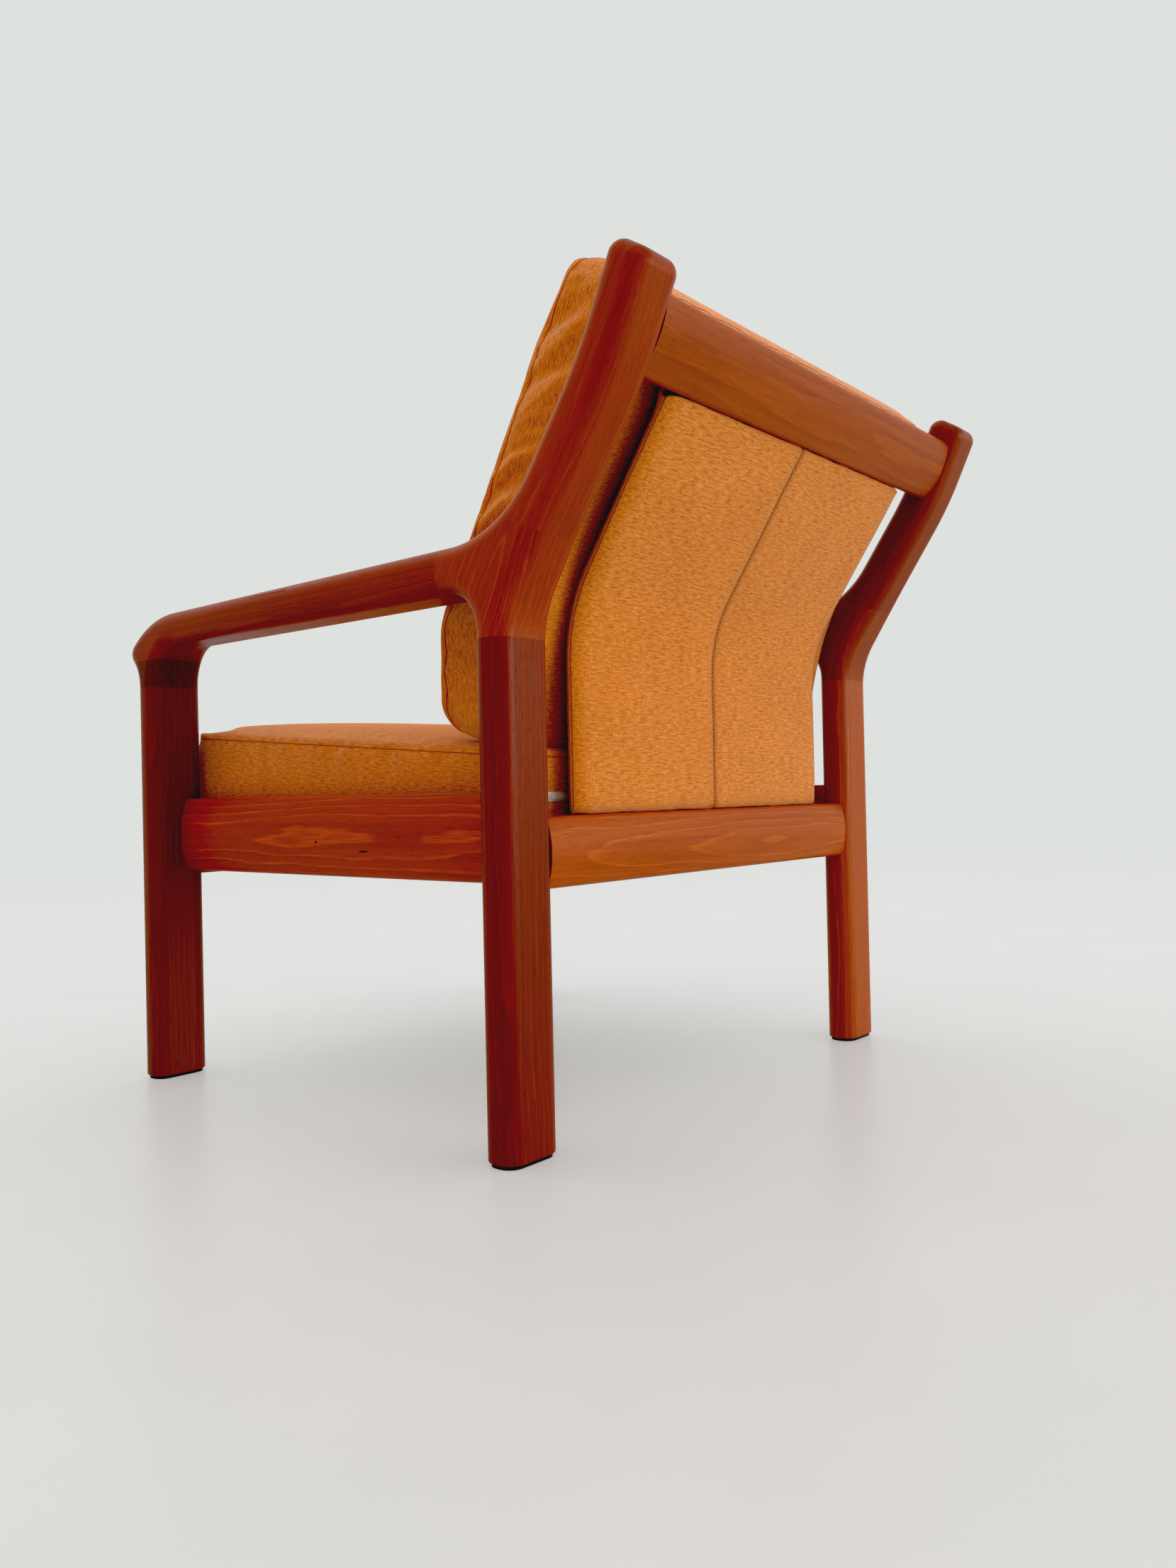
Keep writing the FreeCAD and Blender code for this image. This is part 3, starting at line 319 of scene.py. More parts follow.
def woven(name):
    """Heathered ochre wool in a plain weave; the map is in metres along the threads."""
    tree = Tree(name)
    cloth_map = tree.add("UVMap", uv_map="cloth")
    sway = tree.add("TexNoise", {"Vector": cloth_map, "Scale": 45.0, "Detail": 2.0}, output=1)
    bent = tree.vector_math("ADD", cloth_map,
                            tree.vector_math("MULTIPLY", sway, (0.0016, 0.0016, 0)))
    split = tree.nodes.new("ShaderNodeSeparateXYZ")
    tree.plug(split.inputs[0], bent)
    turns = math.tau / 2 / THREAD_PITCH
    weft = tree.math("SINE", tree.math("MULTIPLY", split.outputs[0], turns))
    warp = tree.math("SINE", tree.math("MULTIPLY", split.outputs[1], turns))
    weave = tree.math("MULTIPLY", weft, warp)
    height = tree.math("ABSOLUTE", weave)
    light, mid, dark = CLOTH_LIGHT, CLOTH_MID, CLOTH_DARK
    # heather: short dashes along the weft, softer ones along the warp, and a few dark hairs
    dashes = tree.noise(tree.vector_math("MULTIPLY", cloth_map, (105, 520, 1)), 1.0, 3.0, 0.62)
    fine = tree.noise(tree.vector_math("MULTIPLY", cloth_map, (420, 1300, 1)), 1.0, 2.0, 0.6)
    upright = tree.noise(tree.vector_math("MULTIPLY", cloth_map, (700, 160, 1)), 1.0, 2.0, 0.6)
    blend = tree.math("ADD", tree.math("MULTIPLY", dashes, 0.62), tree.math("MULTIPLY", fine, 0.24))
    blend = tree.math("ADD", blend, tree.math("MULTIPLY", upright, 0.14))
    colour = tree.ramp(blend, (0.36, tuple(a * 0.55 + b * 0.45 for a, b in zip(dark, mid))),
                       (0.46, mid), (0.60, light))
    hairs = tree.noise(tree.vector_math("MULTIPLY", cloth_map, (210, 900, 3)), 1.0, 2.0, 0.6)
    hair_mask = tree.math("MULTIPLY", tree.smooth(hairs, 0.63, 0.72), 0.6)
    colour = tree.mix(hair_mask, colour, (*dark, 1))
    cloud = tree.noise(cloth_map, 14.0, 3.0, 0.6)
    clouding = tree.ramp(cloud, (0.3, grey(0.95)), (0.7, grey(1.04)))
    colour = tree.mix(1.0, colour, clouding, "MULTIPLY")
    # painted shade: the colour darkens in the hollows of the weave
    painted_weave_hollow_shade = tree.ramp(height, (0.0, grey(0.86)), (0.5, grey(1.0)))
    colour = tree.mix(1.0, colour, painted_weave_hollow_shade, "MULTIPLY")
    relief = tree.math("ADD", height, tree.math("MULTIPLY", dashes, 1.6))
    return tree.finish(colour, 0.92, relief, 0.00045, Sheen_Weight=0.5, Sheen_Roughness=0.4,
                       Specular_IOR_Level=0.15)


def plain(name, colour, roughness, grain=400.0, bump=0.0001, metallic=0.0):
    """A fine-grained finish for moulded, metal and hidden parts."""
    tree = Tree(name)
    place = tree.add("TexCoord", output="Object")
    speck = tree.noise(place, grain, 3.0, 0.6)
    tint = tree.ramp(speck, (0.3, shade(colour, 0.82)), (0.7, shade(colour, 1.12)))
    return tree.finish(tint, roughness, speck, bump, Metallic=metallic)


def ribbed_webbing():
    """Rubberised webbing with ribs along each strap."""
    tree = Tree("webbing")
    place = tree.add("TexCoord", output="Object")
    ribs = tree.add("TexWave", {"Vector": place, "Scale": 78.0}, output="Fac",
                    bands_direction="Y")
    speck = tree.noise(place, 500.0, 2.0)
    # painted shade: the colour darkens into the hollows between the ribs
    tint = tree.ramp(ribs, (0.1, (0.10, 0.055, 0.028)), (0.8, (0.30, 0.185, 0.10)))
    tint = tree.mix(0.35, tint, tree.ramp(speck, (0.3, grey(0.1)), (0.7, grey(0.35))))
    return tree.finish(tint, 0.75, ribs, 0.0004)


# ---- sewn shapes ----------------------------------------------------------------------------

def link_mesh(name, vertices, faces, materials, smooth=True, maps=None):
    mesh = bpy.data.meshes.new(name)
    mesh.from_pydata([tuple(v) for v in vertices], [], faces)
    if maps is not None:
        layer = mesh.uv_layers.new(name="cloth")
        layer.data.foreach_set("uv", np.array(maps, np.float32).ravel())
    mesh.polygons.foreach_set("use_smooth", [smooth] * len(mesh.polygons))
    for material in materials:
        mesh.materials.append(material)
    made = bpy.data.objects.new(name, mesh)
    bpy.context.scene.collection.objects.link(made)
    return made


def box_lattice(counts):
    """The surface of a box in whole steps: corner keys, quads, and each quad's fixed axis.

    The quads face outwards once the box is mapped to a piece's across, along and through
    directions, which are left-handed for the seat, the back and the panel alike.
    """
    index, quads, fixed = {}, [], []
    for axis in range(3):
        first, second = (other for other in range(3) if other != axis)
        for end in (0, counts[axis]):
            for i in range(counts[first]):
                for j in range(counts[second]):
                    quad = []
                    for step_i, step_j in ((0, 0), (1, 0), (1, 1), (0, 1)):
                        key = [0, 0, 0]
                        key[axis], key[first], key[second] = end, i + step_i, j + step_j
                        quad.append(index.setdefault(tuple(key), len(index)))
                    if (end == 0) == (axis == 1):
                        quad.reverse()
                    quads.append(quad)
                    fixed.append(axis)
    return list(index), quads, fixed


def soften_corner(across, along, half_width, length, radius):
    """Draw a rectangle's corners in to a radius; along runs from 0 to length."""
    middle = length / 2
    a = (abs(across) - (half_width - radius)) / radius
    b = (abs(along - middle) - (middle - radius)) / radius
    if a <= 0 or b <= 0:
        return across, along
    round_a, round_b = a * math.sqrt(1 - b * b / 2), b * math.sqrt(1 - a * a / 2)
    across = math.copysign(half_width - radius + round_a * radius, across)
    along = middle + math.copysign(middle - radius + round_b * radius, along - middle)
    return across, along


# folds in the back cushion's boxing, from the rear legs' axis and the floor: where each leaves
# the front seam (y, z), its length, its height and how far its lower flank reaches
FOLDS = [
    ((0.019, 0.809), 0.050, 0.0100, 0.014), ((-0.008, 0.758), 0.085, 0.0120, 0.017),
    ((-0.037, 0.708), 0.090, 0.0120, 0.015), ((-0.045, 0.687), 0.070, 0.0080, 0.008),
    ((-0.054, 0.672), 0.060, 0.0070, 0.007), ((-0.064, 0.652), 0.065, 0.0095, 0.009),
    ((-0.088, 0.610), 0.075, 0.0090, 0.013), ((-0.110, 0.568), 0.060, 0.0070, 0.011),
    ((-0.142, 0.512), 0.050, 0.0060, 0.010), ((-0.144, 0.464), 0.045, 0.0050, 0.009),
]
FOLD_RUN = Vector((0.93, 0.37))
FOLD_ARC = 0.006
FOLD_UPPER_FLANK = 0.0075
PUFF_FRAMES = 20              # how long the cloth simulation blows a cover up


class Cushion:
    """A boxed cushion: two panels and a boxing strip on a box lattice, sewn along known edges."""

    def __init__(self, name, counts, lengths, shape, caps):
        self.name, self.counts, self.lengths, self.caps = name, counts, lengths, caps
        self.keys, self.quads, self.fixed = box_lattice(counts)
        self.index = {key: n for n, key in enumerate(self.keys)}
        self.points = np.array([shape(*(k / c for k, c in zip(key, counts))) for key in self.keys])

    def seam_vertices(self):
        """Vertices where the front or rear panel meets the boxing."""
        nx, ny, nz = self.counts
        return [n for n, (i, j, k) in enumerate(self.keys)
                if k in (0, nz) and (i in (0, nx) or j in (0, ny))]

    def ring(self, k):
        """Vertex numbers once round the cushion at thickness step k."""
        nx, ny, nz = self.counts
        around = [(i, 0) for i in range(nx)] + [(nx, j) for j in range(ny)]
        around += [(i, ny) for i in range(nx, 0, -1)] + [(0, j) for j in range(ny, 0, -1)]
        return [self.index[i, j, k] for i, j in around]

    def normals(self):
        made = np.zeros_like(self.points)
        quads = np.array(self.quads)
        corner = self.points[quads]
        face = np.cross(corner[:, 2] - corner[:, 0], corner[:, 3] - corner[:, 1])
        for column in range(4):
            np.add.at(made, quads[:, column], face)
        return made / np.linalg.norm(made, axis=1, keepdims=True)

    def build(self, material):
        """Make the mesh, with its map in metres along each panel's threads."""
        maps = []
        for quad, axis in zip(self.quads, self.fixed):
            first, second = (other for other in range(3) if other != axis)
            for vertex in quad:
                key = self.keys[vertex]
                maps.append([key[a] / self.counts[a] * self.lengths[a] + 0.37 * axis
                             for a in (first, second)])
        self.object = link_mesh(self.name, self.points, self.quads, [material], maps=maps)
        return self.object

    def inflate(self, pressure, slack):
        """Blow the cover up by cloth simulation, its seams held, and keep a capped result."""
        made = self.object
        group = made.vertex_groups.new(name="seams")
        group.add(self.seam_vertices(), 1.0, "REPLACE")
        modifier = made.modifiers.new("cloth", "CLOTH")
        settings = modifier.settings
        settings.quality = 6
        settings.mass = 0.25
        settings.tension_stiffness = settings.compression_stiffness = 12
        settings.shear_stiffness = 6
        settings.bending_stiffness = 0.6
        settings.use_pressure = True
        settings.uniform_pressure_force = pressure
        settings.shrink_min = -slack
        settings.effector_weights.gravity = 0
        settings.vertex_group_mass = "seams"
        modifier.collision_settings.use_collision = False
        cache = modifier.point_cache
        cache.frame_start, cache.frame_end = 1, PUFF_FRAMES + 2
        for frame_number in range(1, PUFF_FRAMES + 1):
            bpy.context.scene.frame_set(frame_number)
        shown = made.evaluated_get(bpy.context.evaluated_depsgraph_get())
        blown = np.empty(len(made.data.vertices) * 3)
        shown.data.vertices.foreach_get("co", blown)
        bpy.context.scene.frame_set(1)
        made.modifiers.remove(modifier)
        made.vertex_groups.clear()
        move = blown.reshape(-1, 3) - self.points
        cap = np.array([self.cap_at(key) for key in self.keys])[:, None]
        length = np.linalg.norm(move, axis=1, keepdims=True)
        soft = cap * np.tanh(length / np.maximum(cap, 1e-6))
        self.points = self.points + move * soft / np.maximum(length, 1e-9)

    def cap_at(self, key):
        """How far the cover may swell at a lattice point: the smallest cap of its sides."""
        caps = [self.caps[axis][0 if key[axis] == 0 else 1] for axis in range(3)
                if key[axis] in (0, self.counts[axis])]
        return min(caps)

    def settle(self):
        """Write the points back to the mesh."""
        self.object.data.vertices.foreach_set("co", self.points.ravel())
        self.object.data.update()

    def pucker(self, depth):
        """Small uneven gathers beside the seams."""
        normals = self.normals()
        for k in (1, 2, self.counts[2] - 2, self.counts[2] - 1):
            for n in self.ring(k):
                place = Vector(self.points[n]) * 62
                self.points[n] += depth * (noise.noise(place) - 0.2) * normals[n]

    def fold_sides(self):
        """Slanting folds across the left and right boxing, rising towards the rear."""
        nx, ny, nz = self.counts
        for n, (i, j, k) in enumerate(self.keys):
            if i not in (0, nx) or k in (0, nz):
                continue
            x, y, z = self.points[n]
            wander = 0.004 * noise.noise(Vector((y * 22, z * 22, i)))
            height = deepest = 0.0
            for (start_y, start_z), length, rise, reach in FOLDS:
                if i == 0:
                    start_z, rise = start_z - 0.014, rise * 0.8
                across, up = y - REAR_LEG_Y - start_y, z - start_z + wander
                run = (across * FOLD_RUN.x + up * FOLD_RUN.y) / length
                away = up * FOLD_RUN.x - across * FOLD_RUN.y - FOLD_ARC * (1 - (2 * run - 1) ** 2)
                flank = FOLD_UPPER_FLANK if away > 0 else reach
                fade = min(1, max(0, 5 * run + 0.6)) * min(1, max(0, 2.2 - 1.9 * run))
                height = max(height, rise * fade * math.exp(-(away / flank) ** 2))
                deepest = max(deepest, rise)
            ends = min(1, 0.35 + 5 * k / nz) * min(1, 5 * (1 - k / nz))
            ends *= min(1, 9 * j / ny) * min(1, 9 * (1 - j / ny))
            self.points[n][0] -= math.copysign((0.8 * deepest - height) * ends, x)

    def press_lines(self, rings, depth):
        """Sink rings of vertices a little, as a stitched line draws the cover in."""
        normals = self.normals()
        for k in rings:
            for n in self.ring(k):
                self.points[n] -= depth * normals[n]


def smooth_surface(piece, levels=1):
    """Subdivide a piece and return its first vertices' smoothed places."""
    count = len(piece.data.vertices)
    modifier = piece.modifiers.new("smooth", "SUBSURF")
    modifier.levels = modifier.render_levels = levels
    shown = piece.evaluated_get(bpy.context.evaluated_depsgraph_get())
    return np.array([vertex.co[:] for vertex in shown.data.vertices[:count]])


def tube(name, path, radius, material, sides=6):
    """A thin round tube along a closed ring of points, such as a rolled seam."""
    path = np.array(path)
    ahead = np.roll(path, -1, axis=0) - np.roll(path, 1, axis=0)
    ahead /= np.linalg.norm(ahead, axis=1, keepdims=True)
    side = np.cross(ahead, (0.31, 0.17, 0.93))
    side /= np.linalg.norm(side, axis=1, keepdims=True)
    other = np.cross(ahead, side)
    turns = [math.tau * n / sides for n in range(sides)]
    rings = [path + radius * (math.cos(t) * side + math.sin(t) * other) for t in turns]
    vertices = np.stack(rings, axis=1).reshape(-1, 3)
    steps = np.linalg.norm(np.roll(path, -1, axis=0) - path, axis=1)
    travelled = np.concatenate([[0], np.cumsum(steps)])
    faces, maps = [], []
    for n in range(len(path)):
        after = (n + 1) % len(path)
        for s in range(sides):
            beside = (s + 1) % sides
            faces.append([n * sides + s, n * sides + beside, after * sides + beside,
                          after * sides + s])
            around = radius * math.tau / sides
            maps += [(travelled[n], s * around), (travelled[n], (s + 1) * around),
                     (travelled[n + 1], (s + 1) * around), (travelled[n + 1], s * around)]
    return link_mesh(name, vertices, faces, [material], maps=maps)


def distances(path):
    """How far along a path each of its points lies."""
    steps = np.linalg.norm(np.diff(path, axis=0), axis=1)
    return np.concatenate([[0], np.cumsum(steps)])


def stacked_faces(count, layers):
    """Faces of a solid made of closed rings of count vertices, one above another, with ends."""
    faces = []
    for layer in range(layers - 1):
        for n in range(count):
            beside = (n + 1) % count
            a, b = layer * count, (layer + 1) * count
            faces.append([a + n, a + beside, b + beside, b + n])
    last = layers * count
    return faces + [list(range(count)), list(range(last - 1, last - count - 1, -1))]


def rounded_path(corners, radii, count):
    """Evenly spaced points along straight runs joined by arcs of the given radii."""
    dense = [Vector(corners[0])]
    for before, here, after, radius in zip(corners, corners[1:], corners[2:], radii):
        before, here, after = Vector(before), Vector(here), Vector(after)
        back, onward = (before - here).normalized(), (after - here).normalized()
        turn = math.pi - back.angle(onward)
        reach = radius * math.tan(turn / 2)
        start, end = here + back * reach, here + onward * reach
        for step in range(25):
            share = step / 24
            bow = start.lerp(here, share).lerp(here.lerp(end, share), share)
            dense.append(bow)
    dense.append(Vector(corners[-1]))
    dense = np.array([tuple(point) for point in dense])
    travelled = distances(dense)
    wanted = np.linspace(0, travelled[-1], count + 1)
    return np.stack([np.interp(wanted, travelled, dense[:, n]) for n in range(2)], axis=1)


# ---- seat cushion ---------------------------------------------------------------------------

SEAT_AXIS = Vector(next(j["axis"] for j in frame["joints"] if j["name"] == "seat_cushion_slide"))
SEAT_SLOPE = math.atan2(SEAT_AXIS.z, -SEAT_AXIS.y)
SEAT_UP = Vector((0, math.sin(SEAT_SLOPE), math.cos(SEAT_SLOPE)))
SEAT_BACKWARD = -SEAT_AXIS
SEAT_CROWN = 0.020
SEAT_SIDE_HEIGHT = 0.1075
SEAT_INSET = 0.0015           # how far the cover lies inside the CAD cover's outline
SEAT_CORNER = 0.012
STEP = 0.009                  # the lattice's pitch across a cushion
SEAM_RADIUS = 0.0006


def flat_crown(share):
    """0 at a cushion's edges and 1 over most of its middle; share runs from 0 to 1."""
    return 1 - abs(2 * share - 1) ** 2.6


def seat_frame():
    """The seat cushion's lower rear edge, half width and depth, read from the CAD."""
    points = [v.co for v in NODES["seat_cover"].data.vertices]
    rearmost = max(p.dot(SEAT_BACKWARD) for p in points)
    frontmost = min(p.dot(SEAT_BACKWARD) for p in points)
    lowest = min(p.dot(SEAT_UP) for p in points)
    half_width = max(p.x for p in points)
    origin = SEAT_BACKWARD * rearmost + SEAT_UP * lowest
    return origin, half_width, rearmost - frontmost


def build_seat(material, seam_material):
    origin, half_width, depth = seat_frame()
    side_height, inset, corner = SEAT_SIDE_HEIGHT, SEAT_INSET, SEAT_CORNER
    counts = (round(2 * half_width / STEP), round(depth / STEP), 16)

    def shape(u, v, w):
        across = (2 * u - 1) * (half_width - inset)
        along = v * (depth - 2 * inset)
        across, along = soften_corner(across, along, half_width - inset, depth - 2 * inset, corner)
        # the back cushion presses the crown flat near the rear
        pressed = min(1, max(0, (v - 0.16) / 0.22))
        pressed = 0.42 + 0.58 * pressed * pressed * (3 - 2 * pressed)
        crown = SEAT_CROWN * flat_crown(u) ** 0.6 * flat_crown(v) ** 0.32 * pressed
        height = w * (side_height + crown)
        bulge = 0.0005 * math.sin(math.pi * w)
        across += math.copysign(bulge * (u in (0, 1)), across)
        front = 0.002 * math.sin(math.pi * w) * (v == 1)
        return tuple(origin + Vector((across, 0, 0)) - SEAT_BACKWARD * (along + inset + front)
                     + SEAT_UP * height)

    caps = ((0.003, 0.003), (0.001, 0.004), (0.0005, 0.004))
    seat = Cushion("seat_cushion_cover", counts, (2 * half_width, depth, side_height), shape, caps)
    seat.build(material)
    seat.inflate(3.0, 0.02)
    seat.press_lines((1, counts[2] - 1), 0.0011)
    seat.pucker(0.0007)
    seat.settle()
    seat.points = smooth_surface(seat.object)
    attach(seat.object, "seat_cushion")
    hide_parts("seat_cover")
    for word, k in (("lower", 1), ("upper", counts[2] - 1)):
        seam = tube(f"seat_seam_{word}", seat.points[seat.ring(k)], SEAM_RADIUS, seam_material)
        seam.parent = seat.object
    return seat


# ---- back cushion ---------------------------------------------------------------------------

# the cushion's side view, from the rear legs' axis and the floor: y and z in metres
BACK_FRONT = [(-0.118, 0.404), (-0.1445, 0.432), (-0.1430, 0.521), (0.004, 0.784), (0.051, 0.853)]
BACK_FRONT_ROUNDS = [0.030, 0.075, 0.30]
BACK_REAR = [(-0.030, 0.388), (-0.0235, 0.528), (0.146, 0.790)]
BACK_REAR_ROUNDS = [0.46]
BACK_HALF_WIDTH = 0.288
BACK_CORNER = 0.022
BACK_STEPS = 108              # lattice steps from the bottom edge to the top


def build_back(material, seam_material):
    count = BACK_STEPS
    front = rounded_path(BACK_FRONT, BACK_FRONT_ROUNDS, count)
    rear = rounded_path(BACK_REAR, BACK_REAR_ROUNDS, count)
    length = float(np.linalg.norm(np.diff(front, axis=0), axis=1).sum())
    counts = (round(2 * BACK_HALF_WIDTH / STEP), count, 18)

    def shape(u, v, w):
        across, along = soften_corner((2 * u - 1) * BACK_HALF_WIDTH, v * length, BACK_HALF_WIDTH,
                                      length, BACK_CORNER)
        place = along / length * count
        low = min(int(place), count - 1)
        share = place - low
        ahead = front[low] * (1 - share) + front[low + 1] * share
        behind = rear[low] * (1 - share) + rear[low + 1] * share
        below_top = min(1, (1 - v) / 0.25)
        crown = 0.006 * flat_crown(u) * flat_crown(v) * (1 - w) * below_top
        y, z = ahead * (1 - w) + behind * w
        y -= crown * 0.85
        z += crown * 0.35
        if v in (0, 1):
            z += (0.0065 if v else -0.001) * math.sin(math.pi * w)
            y += (0.0025 if v else 0) * math.sin(math.pi * w)
        if u in (0, 1):
            across += math.copysign(0.0010 * math.sin(math.pi * w), across)
        return across, REAR_LEG_Y + y, z

    caps = ((0.003, 0.003), (0.002, 0.002), (0.006, 0.001))
    back = Cushion("back_cushion_cover", counts, (2 * BACK_HALF_WIDTH, length, 0.12), shape, caps)
    back.build(material)
    back.inflate(3.0, 0.035)
    back.fold_sides()
    back.press_lines((1, counts[2] - 1), 0.0013)
    back.pucker(0.0009)
    back.settle()
    back.points = smooth_surface(back.object)
    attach(back.object, "back_cushion")
    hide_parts("back_cover", "back_foam")
    for word, k in (("front", 1), ("rear", counts[2] - 1)):
        seam = tube(f"back_seam_{word}", back.points[back.ring(k)], SEAM_RADIUS, seam_material)
        seam.parent = back.object


# ---- back panel -----------------------------------------------------------------------------

def surface_of(node):
    data = NODES[node].data
    return BVHTree.FromPolygons([v.co for v in data.vertices],
                                [list(p.vertices) for p in data.polygons])


def build_panel(material, seam_material):
    """The bent panel's fabric, laid over the CAD panel, with a stitched seam up its middle."""
    tree = surface_of("back_panel_cover")
    low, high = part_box("back_panel_cover")
    half_width = high.x
    edge = half_width - 0.0095
    layers = 4
    rim = [0, 0.0012, 0.003, 0.0055, 0.009, 0.013, 0.018, 0.025]
    middle = [0.0, 0.0007, 0.0016, 0.003, 0.006, 0.012]
    side_run = np.linspace(rim[-1], half_width - middle[-1], 27)[1:-1]
    left = [*rim, *side_run, *(half_width - m for m in reversed(middle))]
    right = [half_width - p for p in reversed(left[:-1])]
    places = np.array([-half_width + p for p in left] + right)
    columns = len(places) - 1

    def profile(side):
        """The panel's rear (side 1) or front (side -1) face near its edge, evenly spaced."""
        found = []
        for step in range(400):
            z = low.z + 0.0003 + (high.z - low.z - 0.0006) * step / 399
            hit = tree.ray_cast(Vector((edge, 2 * side, z)), Vector((0, -side, 0)))[0]
            if hit and (not found or abs(hit.y - found[-1][0]) < 0.006):
                found.append((hit.y, z))
        found = np.array(found)
        travelled = distances(found)
        total = travelled[-1]
        run = np.linspace(rim[-1], total - rim[-1], 56)[1:-1]
        wanted = [*rim, *run, *(total - p for p in reversed(rim))]
        spread = np.stack([np.interp(wanted, travelled, found[:, n]) for n in range(2)], axis=1)
        return spread, np.array(wanted)

    rear, wanted = profile(1)
    front = profile(-1)[0]
    rows, length = len(wanted) - 1, wanted[-1]

    def sink(across, along):
        """How far the fabric lies below the board's plane: rolled edges, seam and slight waves."""
        side_rim, end_rim = half_width - abs(across), min(along, length - along)
        rolled = 0.0075 * max(0, 1 - side_rim / 0.024) ** 2.4
        rolled += 0.0040 * max(0, 1 - end_rim / 0.009) ** 2
        seam = 0.0016 * math.exp(-abs(across / 0.0022) ** 1.5)
        quilt = 0.0012 * noise.noise(Vector((across * 9, along * 9, 4.2)))
        pull = 0.0022 * noise.noise(Vector((across * 48, round(along / length) * 6.4, 0)))
        return rolled + seam + quilt + pull * max(0, 1 - end_rim / 0.03)

    def shape(u, v, w):
        column, row = round(u * columns), round(v * rows)
        across = places[column]
        y, z = rear[row] * w + front[row] * (1 - w)
        slope = rear[min(row + 1, rows)] - rear[max(row - 1, 0)]
        slope = slope / np.linalg.norm(slope)
        depth = sink(across, wanted[row]) * (2 * w - 1) if w > 0.5 else 0.0
        if w < 0.5:
            depth = -sink(across, wanted[row]) * 0.6 * (1 - 2 * w)
        ends = 0.0016 * noise.noise(Vector((across * 40, v * 5, 7))) * (v in (0, 1))
        y, z = y + slope[1] * -depth + slope[0] * ends, z + slope[0] * depth + slope[1] * ends
        if u in (0, 1):
            across -= math.copysign(0.0024 * (1 - math.sin(math.pi * w)), across)
        return across, y, z

    panel = Cushion("back_panel_fabric", (columns, rows, layers),
                    (2 * half_width, length, 0.016), shape, None)
    panel.build(material)
    panel.points = smooth_surface(panel.object)
    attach(panel.object, "frame")
    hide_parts("back_panel_cover")
    middle = [panel.points[panel.index[columns // 2, j, layers]] for j in range(rows + 1)]
    add_stitches("panel_seam_stitches", middle, (1, 0, 0), seam_material, panel.object)


STITCH_PITCH = 0.0046
STITCH_LENGTH = 0.0034
STITCH_RADIUS = 0.0005


def add_stitches(name, path, side, material, parent):
    """Small thread stitches end to end along a seam."""
    path = np.array(path)
    travelled = distances(path)
    side = np.array(side, float)
    vertices, faces = [], []
    for start in np.arange(0.003, travelled[-1] - STITCH_LENGTH, STITCH_PITCH):
        first = len(vertices)
        for share, thickness in ((0, 0.15), (0.25, 1.0), (0.75, 1.0), (1, 0.15)):
            at = start + share * STITCH_LENGTH
            centre = np.array([np.interp(at, travelled, path[:, n]) for n in range(3)])
            beyond = np.array([np.interp(at + 0.001, travelled, path[:, n]) for n in range(3)])
            ahead = (beyond - centre) / max(np.linalg.norm(beyond - centre), 1e-9)
            out = np.cross(side, ahead)
            for turn in range(5):
                angle = math.tau * turn / 5
                offset = side * math.cos(angle) + out * math.sin(angle)
                vertices.append(centre + offset * STITCH_RADIUS * thickness)
        for ring in range(3):
            for turn in range(5):
                beside = (turn + 1) % 5
                a, b = first + ring * 5, first + (ring + 1) * 5
                faces.append([a + turn, b + turn, b + beside, a + beside])
    made = link_mesh(name, vertices, faces, [material])
    made.parent = parent


# ---- zip ------------------------------------------------------------------------------------

ZIP_WRAP = 0.065              # how far the zip runs on round each rear corner
TOOTH_PITCH = 0.0026
# a tooth's corners along, up and out from the tape, as shares of its half size
TOOTH = ((-1, -1, 0), (1, -1, 0), (1, 1, 0), (-1, 1, 0),
         (-0.6, -0.8, 1), (0.6, -0.8, 1), (0.6, 0.8, 1), (-0.6, 0.8, 1))


